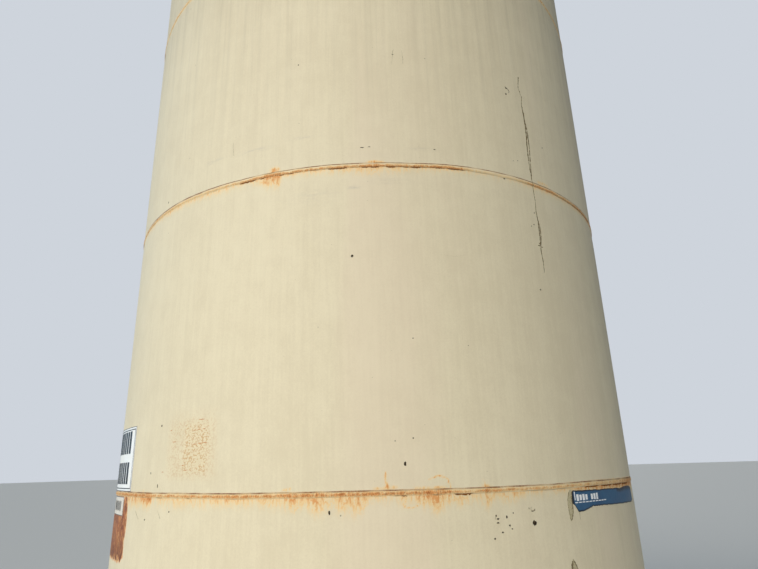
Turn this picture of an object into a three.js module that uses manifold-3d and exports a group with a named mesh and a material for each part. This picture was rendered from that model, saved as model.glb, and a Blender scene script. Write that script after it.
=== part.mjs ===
// Vertical storage tank: a flat-bottomed, cone-roofed steel tank of four welded plate courses, with its
// manways, outlet, vents, lifting lugs and ladder. Millimetres, +Z up. The origin is on the tank's axis,
// at the underside of the bottom plate. The plain front of the shell faces -Y. An azimuth is counted in
// degrees from -Y towards +X, so 180 is the back, where the fittings and the ladder are.
import * as THREE from "three";
import { mergeVertices } from "three/addons/utils/BufferGeometryUtils.js";
import Module from "manifold-3d";

const wasm = await Module();
wasm.setup();

// Driving dimensions
const SHELL_RADIUS = 1600.2; // outside, for a tank 10 ft 6 in across
const SHELL_PLATE = 4.8;
const COURSE_HEIGHT = 1524; // plate 5 ft wide
const COURSE_COUNT = 4;
const BOTTOM_PLATE = 6.4;
const BOTTOM_LEDGE = 32; // how far the bottom plate reaches past the shell
const ROOF_PLATE = 4.8;
const ROOF_LEDGE = 34; // how far the roof reaches past the shell
const ROOF_RISE = 250;
const TOP_ANGLE_LEG = 50;
const TOP_ANGLE_PLATE = 6;
const GIRTH_WELD_WIDTH = 26;
const VERTICAL_WELD_WIDTH = 18;
const WELD_HEIGHT = 4;
const FILLET_LEG = 8;
const SEAT = 0.3; // clearance left where one piece sits on another

// The shell is a prism of this many sides. Fittings stand on its corners, so that bent plates fit it.
const SHELL_SIDES = 72;
const MANWAY_SIDES = 32;
const PIPE_SIDES = 20;
const BAR_SIDES = 8;

const SHELL_BASE = BOTTOM_PLATE;
const SHELL_TOP = SHELL_BASE + COURSE_COUNT * COURSE_HEIGHT;
const SHELL_BORE = SHELL_RADIUS - SHELL_PLATE;
const SHELL_FACE = SHELL_RADIUS + SEAT; // where whatever is fixed to the shell begins
const EAVE_RADIUS = SHELL_RADIUS + ROOF_LEDGE;
const EAVE_HEIGHT = SHELL_TOP + SEAT;
const ROOF_SLOPE = ROOF_RISE / EAVE_RADIUS;
const NEAR_SHELL = [SHELL_RADIUS - 90, SHELL_RADIUS + 90]; // reach of a tool that cuts through the shell

// Azimuths on the shell. What is welded to it stands at a multiple of the angle of one side.
const VERTICAL_WELDS = [110, 255, 120, 245];
const SHELL_MANWAY = 150;
const GROUND_LUG = 170;
const LADDER = 180;
const DRAIN = 195;
const OUTLET = 210;
const LIFTING_LUGS = { right: 90, left: 270 };

const INCH = 25.4;
const PIPE = { // outside and inside radius
  inch3: { outer: 44.5, bore: 39 },
  inch4: { outer: 57.2, bore: 51.2 },
  inch8: { outer: 109.5, bore: 103 },
  manway24: { outer: 12 * INCH + 6.2, bore: 12 * INCH },
};

// Materials
const painted = (color) => new THREE.MeshStandardMaterial({ color, roughness: 0.6, metalness: 0.0 });
const PAINT = painted(0xddd3ad);
const ROOF_PAINT = painted(0xd4caa6);
const NOTICE_WHITE = painted(0xe8e8e4);
const STICKER_BLUE = painted(0x3e5f93);
const WELD = new THREE.MeshStandardMaterial({ color: 0xc28a4e, roughness: 0.85, metalness: 0.1 });
const STEEL = new THREE.MeshStandardMaterial({ color: 0x8f8f88, roughness: 0.5, metalness: 0.7 });
const IRON = new THREE.MeshStandardMaterial({ color: 0x4a4c4e, roughness: 0.7, metalness: 0.4 });
const CAST_ALUMINIUM = new THREE.MeshStandardMaterial({ color: 0xa8aaa8, roughness: 0.5, metalness: 0.8 });

const tank = new THREE.Group();

// Adds one named piece to a group, or to the tank itself.
function piece(name, geometry, material, parent = tank) {
  const mesh = new THREE.Mesh(geometry, material);
  mesh.name = name;
  parent.add(mesh);
  return mesh;
}

// A group turned to an azimuth: in it, the nearest part of the shell faces -Y.
function turnedTo(azimuth) {
  const group = new THREE.Group();
  group.rotation.z = THREE.MathUtils.degToRad(azimuth);
  tank.add(group);
  return group;
}

// Solids for cutting and joining
function solidOf(geometry) {
  const bare = geometry.clone();
  bare.deleteAttribute("normal");
  bare.deleteAttribute("uv");
  const merged = mergeVertices(bare, 1e-3);
  const index = merged.index.array;
  const kept = [];
  for (let i = 0; i < index.length; i += 3) {
    const [a, b, c] = index.slice(i, i + 3);
    if (a !== b && b !== c && c !== a) kept.push(a, b, c);
  }
  const mesh = new wasm.Mesh({
    numProp: 3,
    vertProperties: new Float32Array(merged.attributes.position.array),
    triVerts: new Uint32Array(kept),
  });
  return new wasm.Manifold(mesh);
}

function geometryOf(solid) {
  const mesh = solid.getMesh();
  const geometry = new THREE.BufferGeometry();
  geometry.setAttribute("position", new THREE.BufferAttribute(mesh.vertProperties, 3));
  geometry.setIndex(new THREE.BufferAttribute(mesh.triVerts, 1));
  geometry.computeVertexNormals();
  return geometry;
}

function join(...geometries) {
  return geometryOf(geometries.map(solidOf).reduce((whole, next) => whole.add(next)));
}

function cut(geometry, ...tools) {
  return geometryOf(tools.map(solidOf).reduce((whole, tool) => whole.subtract(tool), solidOf(geometry)));
}

function common(a, b) {
  return geometryOf(solidOf(a).intersect(solidOf(b)));
}

// Turned shapes. A profile is a list of [radius, height], counter-clockwise with the radius to the right.
function lathe(profile, sides) {
  const points = profile.map(([radius, height]) => new THREE.Vector2(radius, height));
  const onAxis = profile[0][0] === 0 && profile[profile.length - 1][0] === 0;
  if (!onAxis) points.push(points[0].clone());
  return new THREE.LatheGeometry(points, sides);
}

// A turned shape that stands on +Z.
function upright(profile, sides) {
  return lathe(profile, sides).rotateX(Math.PI / 2);
}

// A turned shape whose axis leaves the tank along -Y. Its heights are distances from the tank's axis.
function radial(profile, sides, height) {
  return lathe(profile, sides).rotateX(Math.PI).translate(0, 0, height);
}

// The ring between two radii and two heights, as a profile.
function ring(inner, outer, low, high) {
  return [[outer, low], [outer, high], [inner, high], [inner, low]];
}

// A solid disc, as a profile that starts and ends on the axis.
function disc(radius, low, high) {
  return [[0, low], [radius, low], [radius, high], [0, high]];
}

function box(x, y, z) {
  const [width, depth, height] = [x, y, z].map(([low, high]) => high - low);
  const [cx, cy, cz] = [x, y, z].map(([low, high]) => (low + high) / 2);
  return new THREE.BoxGeometry(width, depth, height).translate(cx, cy, cz);
}

// The two ends of a bar's thickness, in order, on one side of the middle.
function besides(hand, near, thickness) {
  return hand > 0 ? [near, near + thickness] : [-near - thickness, -near];
}

// A flat outline pushed out along -Y, to cut a bent plate. Its x runs along X and its y up.
function outwardTool(shape, height) {
  const [near, far] = NEAR_SHELL;
  const tool = new THREE.ExtrudeGeometry(shape, { depth: far - near, bevelEnabled: false, curveSegments: 16 });
  const turn = new THREE.Matrix4().makeBasis(
    new THREE.Vector3(1, 0, 0),
    new THREE.Vector3(0, 0, 1),
    new THREE.Vector3(0, -1, 0),
  );
  return tool.applyMatrix4(turn).translate(0, -near, height);
}

// A plate bent round the shell and cut to an outline, centred at an azimuth and a height.
function bentPlate(shape, thickness, azimuth, height) {
  const reach = Math.max(...shape.getPoints(16).map((point) => Math.abs(point.y))) + 5;
  const sheet = upright(ring(SHELL_FACE, SHELL_FACE + thickness, height - reach, height + reach), SHELL_SIDES);
  const tool = outwardTool(shape, height).rotateZ(THREE.MathUtils.degToRad(azimuth));
  return common(sheet, tool);
}

function rectangle(halfWidth, halfHeight) {
  return new THREE.Shape([
    new THREE.Vector2(-halfWidth, -halfHeight),
    new THREE.Vector2(halfWidth, -halfHeight),
    new THREE.Vector2(halfWidth, halfHeight),
    new THREE.Vector2(-halfWidth, halfHeight),
  ]);
}

// Bottom, shell courses and their welds
const courseBase = (number) => SHELL_BASE + (number - 1) * COURSE_HEIGHT;

// What passes through the shell: where, its pipe, how deep it reaches in and how far out
const SHELL_NECKS = {
  manway: { azimuth: SHELL_MANWAY, height: 768, pipe: PIPE.manway24, sides: MANWAY_SIDES, from: -70, to: 190 },
  outlet: { azimuth: OUTLET, height: 250, pipe: PIPE.inch4, sides: PIPE_SIDES, from: -40, to: 160 },
  drain: { azimuth: DRAIN, height: 110, pipe: { outer: 36, bore: 19 }, sides: PIPE_SIDES, from: -25, to: 40 },
};

function shellHole({ azimuth, height, pipe, sides }) {
  const hole = radial(disc(pipe.outer + SEAT, ...NEAR_SHELL), sides, height);
  return hole.rotateZ(THREE.MathUtils.degToRad(azimuth));
}

function makeBottom() {
  piece("bottom_plate", upright(disc(SHELL_RADIUS + BOTTOM_LEDGE, 0, BOTTOM_PLATE), SHELL_SIDES), PAINT);
  const low = SHELL_BASE + SEAT;
  const fillet = [[SHELL_FACE + FILLET_LEG, low], [SHELL_FACE, low + FILLET_LEG], [SHELL_FACE, low]];
  piece("base_fillet_weld", upright(fillet, SHELL_SIDES), WELD);
}

function makeCourse(number) {
  const low = courseBase(number);
  const course = upright(ring(SHELL_BORE, SHELL_RADIUS, low, low + COURSE_HEIGHT), SHELL_SIDES);
  const pierced = number === 1 ? cut(course, ...Object.values(SHELL_NECKS).map(shellHole)) : course;
  piece("shell_course_" + number, pierced, PAINT);
}

// A low bead that is steeper below the seam than above it.
function makeGirthWeld(number) {
  const seam = courseBase(number + 1);
  const half = GIRTH_WELD_WIDTH / 2;
  const crown = SHELL_FACE + WELD_HEIGHT;
  const profile = [
    [SHELL_FACE, seam - half],
    [crown, seam - 0.8 * half],
    [crown, seam + 0.4 * half],
    [SHELL_FACE, seam + half],
  ];
  piece("girth_weld_" + number, upright(profile, SHELL_SIDES), WELD);
}

function makeVerticalWeld(number) {
  const clear = 0.5;
  const girth = GIRTH_WELD_WIDTH / 2 + clear;
  const low = courseBase(number) + (number === 1 ? FILLET_LEG + clear : girth);
  const high = courseBase(number + 1) - (number === COURSE_COUNT ? TOP_ANGLE_LEG + clear : girth);
  const half = VERTICAL_WELD_WIDTH / 2;
  const section = new THREE.Shape([
    new THREE.Vector2(-half, -SHELL_FACE),
    new THREE.Vector2(-half / 2, -SHELL_FACE - WELD_HEIGHT),
    new THREE.Vector2(half / 2, -SHELL_FACE - WELD_HEIGHT),
    new THREE.Vector2(half, -SHELL_FACE),
  ]);
  const bead = new THREE.ExtrudeGeometry(section, { depth: high - low, bevelEnabled: false });
  piece("vertical_weld_" + number, bead.translate(0, 0, low), WELD, turnedTo(VERTICAL_WELDS[number - 1]));
}

// Notices stuck on the front of the shell, each at the height of the middle of its outline
const NOTICE_PLATE = 1.2;
const SIGN = { azimuth: -58.6, height: 1716, width: 460, tall: 322 };
const LABEL = { azimuth: -59.2, height: 1464, width: 290, tall: 90 };
const STICKER = { azimuth: 47, height: 1464 };

// The sticker's torn outline, along the shell and up from its middle, starting at its upper left corner
const TORN_OUTLINE = [
  [-366, 41],
  [-190, 40],
  [-100, 44],
  [120, 42],
  [200, 36],
  [300, 46],
  [372, 38],
  [362, -38],
  [120, -36],
  [-130, -32],
  [-222, -30],
  [-250, -40],
  [-296, -47],
  [-338, -48],
  [-352, -20],
  [-372, -8],
];

function makeNotices() {
  const sign = bentPlate(rectangle(SIGN.width / 2, SIGN.tall / 2), NOTICE_PLATE, SIGN.azimuth, SIGN.height);
  piece("sign_placard", sign, NOTICE_WHITE);
  const label = bentPlate(rectangle(LABEL.width / 2, LABEL.tall / 2), NOTICE_PLATE, LABEL.azimuth, LABEL.height);
  piece("small_label", label, NOTICE_WHITE);
  const torn = new THREE.Shape(TORN_OUTLINE.map(([along, up]) => new THREE.Vector2(along, up)));
  piece("torn_sticker", bentPlate(torn, NOTICE_PLATE, STICKER.azimuth, STICKER.height), STICKER_BLUE);
}

// Top angle and roof
function makeTopAngle() {
  const profile = [
    [SHELL_FACE, SHELL_TOP - TOP_ANGLE_LEG],
    [SHELL_FACE + TOP_ANGLE_PLATE, SHELL_TOP - TOP_ANGLE_LEG],
    [SHELL_FACE + TOP_ANGLE_PLATE, SHELL_TOP - TOP_ANGLE_PLATE],
    [SHELL_FACE + TOP_ANGLE_LEG, SHELL_TOP - TOP_ANGLE_PLATE],
    [SHELL_FACE + TOP_ANGLE_LEG, SHELL_TOP],
    [SHELL_FACE, SHELL_TOP],
  ];
  piece("top_angle", upright(profile, SHELL_SIDES), PAINT);
}

// Height of the roof plate's underside and top at a distance from the axis.
const roofUnderside = (distance) => EAVE_HEIGHT + (EAVE_RADIUS - distance) * ROOF_SLOPE;
const roofTop = (distance) => roofUnderside(distance) + ROOF_PLATE;

// What stands on the roof: where, its pipe, and how far it stands above the roof
const ROOF_NECKS = {
  vent: { azimuth: 0, distance: 0, pipe: PIPE.inch3, sides: PIPE_SIDES, above: 330 },
  manhole: { azimuth: 135, distance: 850, pipe: PIPE.manway24, sides: MANWAY_SIDES, above: 170 },
  emergency: { azimuth: 225, distance: 850, pipe: PIPE.inch8, sides: PIPE_SIDES, above: 190 },
  gauge: { azimuth: 202.5, distance: 1270, pipe: PIPE.inch8, sides: PIPE_SIDES, above: 150 },
};
const NECK_BELOW_ROOF = 60;

function roofPlace({ azimuth, distance }) {
  const angle = THREE.MathUtils.degToRad(azimuth);
  return [distance * Math.sin(angle), -distance * Math.cos(angle)];
}

function roofHole(neck) {
  const [x, y] = roofPlace(neck);
  const tool = upright(disc(neck.pipe.outer + SEAT, SHELL_TOP, SHELL_TOP + 2 * ROOF_RISE), neck.sides);
  return tool.translate(x, y, 0);
}

function makeRoof() {
  const centre = ROOF_NECKS.vent.pipe.outer + SEAT;
  const profile = [
    [EAVE_RADIUS, roofUnderside(EAVE_RADIUS)],
    [EAVE_RADIUS, roofTop(EAVE_RADIUS)],
    [centre, roofTop(centre)],
    [centre, roofUnderside(centre)],
  ];
  const offCentre = Object.values(ROOF_NECKS).filter((neck) => neck.distance > 0);
  piece("roof_plate", cut(upright(profile, SHELL_SIDES), ...offCentre.map(roofHole)), ROOF_PAINT);
}

// A group at a roof neck, whose z is zero where the neck's axis meets the top of the roof.
function onRoof(neck) {
  const group = new THREE.Group();
  const [x, y] = roofPlace(neck);
  group.position.set(x, y, roofTop(neck.distance));
  tank.add(group);
  return group;
}

// A neck with a flange at its end, as a profile.
function flangedNeck({ outer, bore }, low, high, flangeRadius, flangePlate) {
  return [
    [bore, low],
    [outer, low],
    [outer, high - flangePlate],
    [flangeRadius, high - flangePlate],
    [flangeRadius, high],
    [bore, high],
  ];
}

function makeRoofManhole() {
  const { pipe, sides, above } = ROOF_NECKS.manhole;
  const place = onRoof(ROOF_NECKS.manhole);
  const flangeRadius = 385;
  const neck = flangedNeck(pipe, -NECK_BELOW_ROOF, above, flangeRadius, 10);
  piece("roof_manhole_neck", upright(neck, sides), PAINT, place);
  const low = above + SEAT;
  piece("roof_manhole_cover", upright(disc(flangeRadius, low, low + 8), sides), PAINT, place);
}

function makeEmergencyVent() {
  const { pipe, sides, above } = ROOF_NECKS.emergency;
  const place = onRoof(ROOF_NECKS.emergency);
  const neck = flangedNeck(pipe, -NECK_BELOW_ROOF, above, 150, 14);
  piece("emergency_vent_neck", upright(neck, sides), PAINT, place);
  const low = above + SEAT;
  const cap = [
    [0, low],
    [136, low],
    [142, low + 26],
    [120, low + 48],
    [40, low + 66],
    [28, low + 92],
    [0, low + 92],
  ];
  piece("emergency_vent_cap", upright(cap, sides), CAST_ALUMINIUM, place);
}

function makeGaugeHatch() {
  const { pipe, sides, above } = ROOF_NECKS.gauge;
  const place = onRoof(ROOF_NECKS.gauge);
  const neck = flangedNeck(pipe, -NECK_BELOW_ROOF, above, 140, 12);
  piece("gauge_hatch_neck", upright(neck, sides), PAINT, place);
  const low = above + SEAT;
  const lid = [
    [0, low],
    [126, low],
    [126, low + 20],
    [60, low + 40],
    [0, low + 40],
  ];
  const hinge = box([-30, 30], [100, 150], [low, low + 24]);
  const pedal = box([-14, 14], [-165, -100], [low + 6, low + 18]);
  piece("gauge_hatch_lid", join(upright(lid, sides), hinge, pedal), CAST_ALUMINIUM, place);
}

function makeVent() {
  const { pipe, sides, above } = ROOF_NECKS.vent;
  const { outer, bore } = pipe;
  const place = onRoof(ROOF_NECKS.vent);
  piece("vent_pipe", upright(ring(bore, outer, -NECK_BELOW_ROOF, above), sides), PAINT, place);
  const plug = above + SEAT;
  const skirt = above - 40;
  const cap = [
    [0, plug],
    [outer + 22, plug],
    [outer + 34, skirt],
    [outer + 40, skirt],
    [outer + 40, plug + 14],
    [outer, plug + 44],
    [0, plug + 52],
  ];
  piece("vent_cap", upright(cap, sides), CAST_ALUMINIUM, place);
}

// Shell manway: reinforcing pad, neck with its flange, and cover
function makeShellManway() {
  const { azimuth, height, pipe, sides, from, to } = SHELL_NECKS.manway;
  const padRadius = 520;
  const padPlate = 6.4;
  const flangeRadius = 411;
  const coverPlate = 9.5;
  const outline = new THREE.Shape().absarc(0, 0, padRadius, 0, 2 * Math.PI, false);
  const pad = cut(bentPlate(outline, padPlate, azimuth, height), shellHole(SHELL_NECKS.manway));
  piece("shell_manway_pad", pad, PAINT);
  const place = turnedTo(azimuth);
  const neck = flangedNeck(pipe, SHELL_RADIUS + from, SHELL_RADIUS + to, flangeRadius, 10);
  piece("shell_manway_neck", radial(neck, sides, height), PAINT, place);
  const low = SHELL_RADIUS + to + SEAT;
  piece("shell_manway_cover", radial(disc(flangeRadius, low, low + coverPlate), sides, height), PAINT, place);
}

// Outlet: nozzle, closed gate valve, handwheel, and a blind flange on the valve's far end
const VALVE = { flangeRadius: 114.5, flangePlate: 24, length: 229, bodyRadius: 88, stemRadius: 13 };

function valveBody(start, gate, bore, neckRadius) {
  const { flangeRadius, flangePlate, length, bodyRadius } = VALVE;
  const end = start + length;
  const gateHalf = 14;
  return [
    [0, gate - gateHalf],
    [bore, gate - gateHalf],
    [bore, start],
    [flangeRadius, start],
    [flangeRadius, start + flangePlate],
    [neckRadius, start + flangePlate + 10],
    [bodyRadius, gate - 40],
    [bodyRadius, gate + 40],
    [neckRadius, end - flangePlate - 10],
    [flangeRadius, end - flangePlate],
    [flangeRadius, end],
    [bore, end],
    [bore, gate + gateHalf],
    [0, gate + gateHalf],
  ];
}

// Bonnet, gland, yoke and stem, as a profile upwards from the middle of the valve
const VALVE_BONNET = [
  [0, 60],
  [62, 60],
  [62, 130],
  [92, 130],
  [92, 152],
  [40, 170],
  [26, 190],
  [26, 270],
  [VALVE.stemRadius, 270],
  [VALVE.stemRadius, 330],
  [0, 330],
];
const HANDWHEEL = { up: 296, rimInner: 108, rimOuter: 124, hub: 26, half: 8, spokeHalf: 7 };

function handwheel() {
  const { rimInner, rimOuter, hub, half, spokeHalf } = HANDWHEEL;
  const reach = (rimInner + rimOuter) / 2 - 4;
  const rim = upright(ring(rimInner, rimOuter, -half, half), PIPE_SIDES);
  const boss = upright(disc(hub, -half - 2, half + 2), PIPE_SIDES);
  const across = box([-reach, reach], [-spokeHalf, spokeHalf], [3 - half, half - 3]);
  const along = box([-spokeHalf, spokeHalf], [-reach, reach], [3 - half, half - 3]);
  const stemHole = upright(disc(VALVE.stemRadius + SEAT, -2 * half, 2 * half), PIPE_SIDES);
  return cut(join(rim, boss, across, along), stemHole);
}

function makeOutlet() {
  const { azimuth, height, pipe, sides, from, to } = SHELL_NECKS.outlet;
  const place = turnedTo(azimuth);
  const nozzle = flangedNeck(pipe, SHELL_RADIUS + from, SHELL_RADIUS + to, VALVE.flangeRadius, VALVE.flangePlate);
  piece("outlet_nozzle", radial(nozzle, sides, height), PAINT, place);
  const start = SHELL_RADIUS + to + SEAT;
  const gate = start + VALVE.length / 2;
  const body = radial(valveBody(start, gate, pipe.bore, pipe.outer + 8), sides, height);
  const bonnet = upright(VALVE_BONNET, sides).translate(0, -gate, height);
  piece("outlet_valve", join(body, bonnet), IRON, place);
  const end = start + VALVE.length + SEAT;
  piece("outlet_blind_flange", radial(disc(VALVE.flangeRadius, end, end + 22), sides, height), STEEL, place);
  piece("outlet_handwheel", handwheel().translate(0, -gate, height + HANDWHEEL.up), IRON, place);
}

// Drain coupling, closed with a plug, and the earthing lug
function makeDrain() {
  const { azimuth, height, pipe, sides, from, to } = SHELL_NECKS.drain;
  const plugStand = 18;
  const end = SHELL_RADIUS + to;
  const profile = [
    [0, SHELL_RADIUS + from],
    [pipe.outer, SHELL_RADIUS + from],
    [pipe.outer, end],
    [pipe.bore, end],
    [pipe.bore, end + plugStand],
    [0, end + plugStand],
  ];
  piece("drain_coupling", radial(profile, sides, height), STEEL, turnedTo(azimuth));
}

function makeGroundLug() {
  const height = 180;
  const lug = box([-4, 4], [-SHELL_FACE - 60, -SHELL_FACE], [height - 30, height + 30]);
  const hole = new THREE.CylinderGeometry(7, 7, 20, BAR_SIDES).rotateZ(Math.PI / 2);
  hole.translate(0, -SHELL_FACE - 38, height);
  piece("ground_lug", cut(lug, hole), STEEL, turnedTo(GROUND_LUG));
}

// Lifting lugs, each welded to a bent pad on one side of the top course
const LUG = { padPlate: 8, padHalf: 110, below: 210, half: 85, nose: 50, reach: 75, hole: 24, plate: 20 };

function lugPlate() {
  const shape = new THREE.Shape();
  const root = -LUG.padPlate / 2;
  shape.moveTo(root, -LUG.half);
  shape.lineTo(0, -LUG.half);
  shape.lineTo(0.6 * LUG.reach, -LUG.nose);
  shape.absarc(LUG.reach, 0, LUG.nose, -Math.PI / 2, Math.PI / 2, false);
  shape.lineTo(0.6 * LUG.reach, LUG.nose);
  shape.lineTo(0, LUG.half);
  shape.lineTo(root, LUG.half);
  const hole = new THREE.Path().absarc(LUG.reach, 0, LUG.hole, 0, 2 * Math.PI, true);
  shape.holes.push(hole);
  const plate = new THREE.ExtrudeGeometry(shape, { depth: LUG.plate, bevelEnabled: false, curveSegments: 8 });
  // The outline's x leaves the shell along -Y and its y goes up.
  const turn = new THREE.Matrix4().makeBasis(
    new THREE.Vector3(0, -1, 0),
    new THREE.Vector3(0, 0, 1),
    new THREE.Vector3(-1, 0, 0),
  );
  return plate.translate(0, 0, -LUG.plate / 2).applyMatrix4(turn);
}

function makeLiftingLug(side) {
  const azimuth = LIFTING_LUGS[side];
  const height = SHELL_TOP - LUG.below;
  const pad = bentPlate(rectangle(LUG.padHalf, 1.1 * LUG.padHalf), LUG.padPlate, azimuth, height);
  const plate = lugPlate().translate(0, -SHELL_FACE - LUG.padPlate, height);
  plate.rotateZ(THREE.MathUtils.degToRad(azimuth));
  piece("lifting_lug_" + side, join(pad, plate), PAINT);
}

// Ladder, seen from the front: sections of flat rails and round rungs, brackets to the shell, and grab
// rails that start beside the rails and bend over the eave down to the roof
const LADDER_CLEAR = 203; // half the width between the rails
const RAIL_PLATE = 10;
const RAIL_DEPTH = 64;
const RUNG_DISTANCE = SHELL_RADIUS + 190;
const RUNG_RADIUS = 11;
const RUNG_PITCH = 304.8;
const SECTION_RUNGS = [7, 7, 6];
const FIRST_RUNG = 311;
const ARM_PLATE = 8;
const ARM_HALF = 25;
const BRACKET_HEIGHTS = [620, 2292, 4426, 5740]; // the middle two hold the joints of the sections
const RAIL_FACE = LADDER_CLEAR + RAIL_PLATE + SEAT; // where what is fixed beside a rail begins
const GRAB_RAIL_RADIUS = 21;
const GRAB_RAIL_RISE = 1067; // above the eave

function makeLadderSection(number, firstRung, rungs, place) {
  const low = firstRung - RUNG_PITCH / 2;
  const high = low + rungs * RUNG_PITCH - SEAT;
  const depth = [-RUNG_DISTANCE - RAIL_DEPTH / 2, -RUNG_DISTANCE + RAIL_DEPTH / 2];
  const bars = [-1, 1].map((hand) => box(besides(hand, LADDER_CLEAR, RAIL_PLATE), depth, [low, high]));
  const length = 2 * LADDER_CLEAR + RAIL_PLATE;
  for (let n = 0; n < rungs; n++) {
    const rung = new THREE.CylinderGeometry(RUNG_RADIUS, RUNG_RADIUS, length, BAR_SIDES).rotateZ(Math.PI / 2);
    bars.push(rung.translate(0, -RUNG_DISTANCE, firstRung + n * RUNG_PITCH));
  }
  piece("ladder_section_" + number, join(...bars), PAINT, place);
}

function makeLadderBracket(number, height) {
  const halfWidth = RAIL_FACE + ARM_PLATE + 22;
  const back = bentPlate(rectangle(halfWidth, ARM_HALF), ARM_PLATE, LADDER, height);
  const depth = [-RUNG_DISTANCE - RAIL_DEPTH / 2 + 4, -SHELL_RADIUS + 9];
  const arms = [-1, 1].map((hand) => {
    const arm = box(besides(hand, RAIL_FACE, ARM_PLATE), depth, [height - ARM_HALF, height + ARM_HALF]);
    return arm.rotateZ(THREE.MathUtils.degToRad(LADDER));
  });
  piece("ladder_bracket_" + number, join(back, ...arms), PAINT);
}

// The line of a grab rail: up, over in a half circle, and down to its foot on the roof.
class GrabRailLine extends THREE.Curve {
  constructor(x, outer, inner, low, top, foot) {
    super();
    this.x = x;
    this.middle = (outer + inner) / 2;
    this.bend = (outer - inner) / 2;
    this.low = low;
    this.spring = top - this.bend;
    this.rise = this.spring - low;
    this.round = Math.PI * this.bend;
    this.total = this.rise + this.round + this.spring - foot;
  }

  getPoint(t) {
    const along = t * this.total;
    const past = along - this.rise - this.round;
    if (along < this.rise) return new THREE.Vector3(this.x, -this.middle - this.bend, this.low + along);
    if (past > 0) return new THREE.Vector3(this.x, -this.middle + this.bend, this.spring - past);
    const angle = (along - this.rise) / this.bend;
    const y = -this.middle - this.bend * Math.cos(angle);
    return new THREE.Vector3(this.x, y, this.spring + this.bend * Math.sin(angle));
  }
}

// The foot plate is cut to the slope of the roof, so that it stands on it.
function makeGrabRail(hand, ladderTop) {
  const x = hand * (RAIL_FACE + GRAB_RAIL_RADIUS);
  const inner = SHELL_RADIUS - 420;
  const footHalf = 50;
  const foot = roofTop(inner - footHalf) + 10;
  const top = SHELL_TOP + GRAB_RAIL_RISE;
  const line = new GrabRailLine(x, RUNG_DISTANCE, inner, ladderTop - 460, top, foot - 5);
  const section = new THREE.Shape().absarc(0, 0, GRAB_RAIL_RADIUS, 0, 2 * Math.PI, false);
  const tube = new THREE.ExtrudeGeometry(section, { steps: 36, extrudePath: line, curveSegments: 5 });
  const base = box([x - footHalf, x + footHalf], [-inner - footHalf, -inner + footHalf], [foot - 40, foot]);
  const roofMass = [
    [0, SHELL_TOP - ROOF_RISE],
    [EAVE_RADIUS, SHELL_TOP - ROOF_RISE],
    [EAVE_RADIUS, roofTop(EAVE_RADIUS) + SEAT],
    [0, roofTop(0) + SEAT],
  ];
  const rail = cut(join(tube, base), upright(roofMass, SHELL_SIDES));
  piece(hand > 0 ? "grab_rail_left" : "grab_rail_right", rail, PAINT, turnedTo(LADDER));
}

function makeLadder() {
  const place = turnedTo(LADDER);
  let firstRung = FIRST_RUNG;
  SECTION_RUNGS.forEach((rungs, index) => {
    makeLadderSection(index + 1, firstRung, rungs, place);
    firstRung += rungs * RUNG_PITCH;
  });
  BRACKET_HEIGHTS.forEach((height, index) => makeLadderBracket(index + 1, height));
  const ladderTop = firstRung - RUNG_PITCH / 2;
  for (const hand of [-1, 1]) makeGrabRail(hand, ladderTop);
}

makeBottom();
for (let number = 1; number <= COURSE_COUNT; number++) makeCourse(number);
for (let number = 1; number < COURSE_COUNT; number++) makeGirthWeld(number);
for (let number = 1; number <= COURSE_COUNT; number++) makeVerticalWeld(number);
makeNotices();
makeTopAngle();
makeRoof();
makeVent();
makeRoofManhole();
makeEmergencyVent();
makeGaugeHatch();
makeShellManway();
makeOutlet();
makeDrain();
makeGroundLug();
for (const side of Object.keys(LIFTING_LUGS)) makeLiftingLug(side);
makeLadder();

export default tank;
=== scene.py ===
"""The looks of a vertical storage tank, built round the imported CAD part.

Metres, +Z up. The tank's axis is the Z axis and its plain front faces -Y. An azimuth is counted in degrees
from -Y towards +X, so 180 is the back, where the fittings and the ladder are.
"""

import math

import bmesh
import bpy
import numpy as np
from mathutils import Matrix, Vector


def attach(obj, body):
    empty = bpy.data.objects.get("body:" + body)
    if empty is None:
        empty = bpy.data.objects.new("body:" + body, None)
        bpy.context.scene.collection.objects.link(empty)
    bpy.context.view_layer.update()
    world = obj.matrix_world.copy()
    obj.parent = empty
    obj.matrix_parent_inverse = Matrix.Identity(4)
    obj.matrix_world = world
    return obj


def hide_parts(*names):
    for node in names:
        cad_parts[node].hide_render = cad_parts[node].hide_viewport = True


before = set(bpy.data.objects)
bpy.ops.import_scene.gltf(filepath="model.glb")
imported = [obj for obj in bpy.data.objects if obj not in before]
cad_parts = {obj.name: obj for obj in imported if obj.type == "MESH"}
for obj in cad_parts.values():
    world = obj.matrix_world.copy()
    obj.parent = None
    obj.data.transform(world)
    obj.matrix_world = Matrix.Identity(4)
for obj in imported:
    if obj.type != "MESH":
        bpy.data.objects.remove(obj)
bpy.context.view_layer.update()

# Driving dimensions, as in the CAD source
SHELL_RADIUS = 1.6002
SHELL_PLATE = 0.0048
COURSE_HEIGHT = 1.524
COURSE_COUNT = 4
BOTTOM_PLATE = 0.0064
BOTTOM_LEDGE = 0.032
ROOF_PLATE = 0.0048
ROOF_LEDGE = 0.034
ROOF_RISE = 0.25
TOP_ANGLE_LEG = 0.05
TOP_ANGLE_PLATE = 0.006
GIRTH_WELD_HALF = 0.013
FOOT_WELD_LEG = 0.008
# The lowest bead sits a little above the middle of its seam
BEAD_LIFTS = (0.004, -0.001, 0.0)
SEAT = 0.0003

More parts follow.
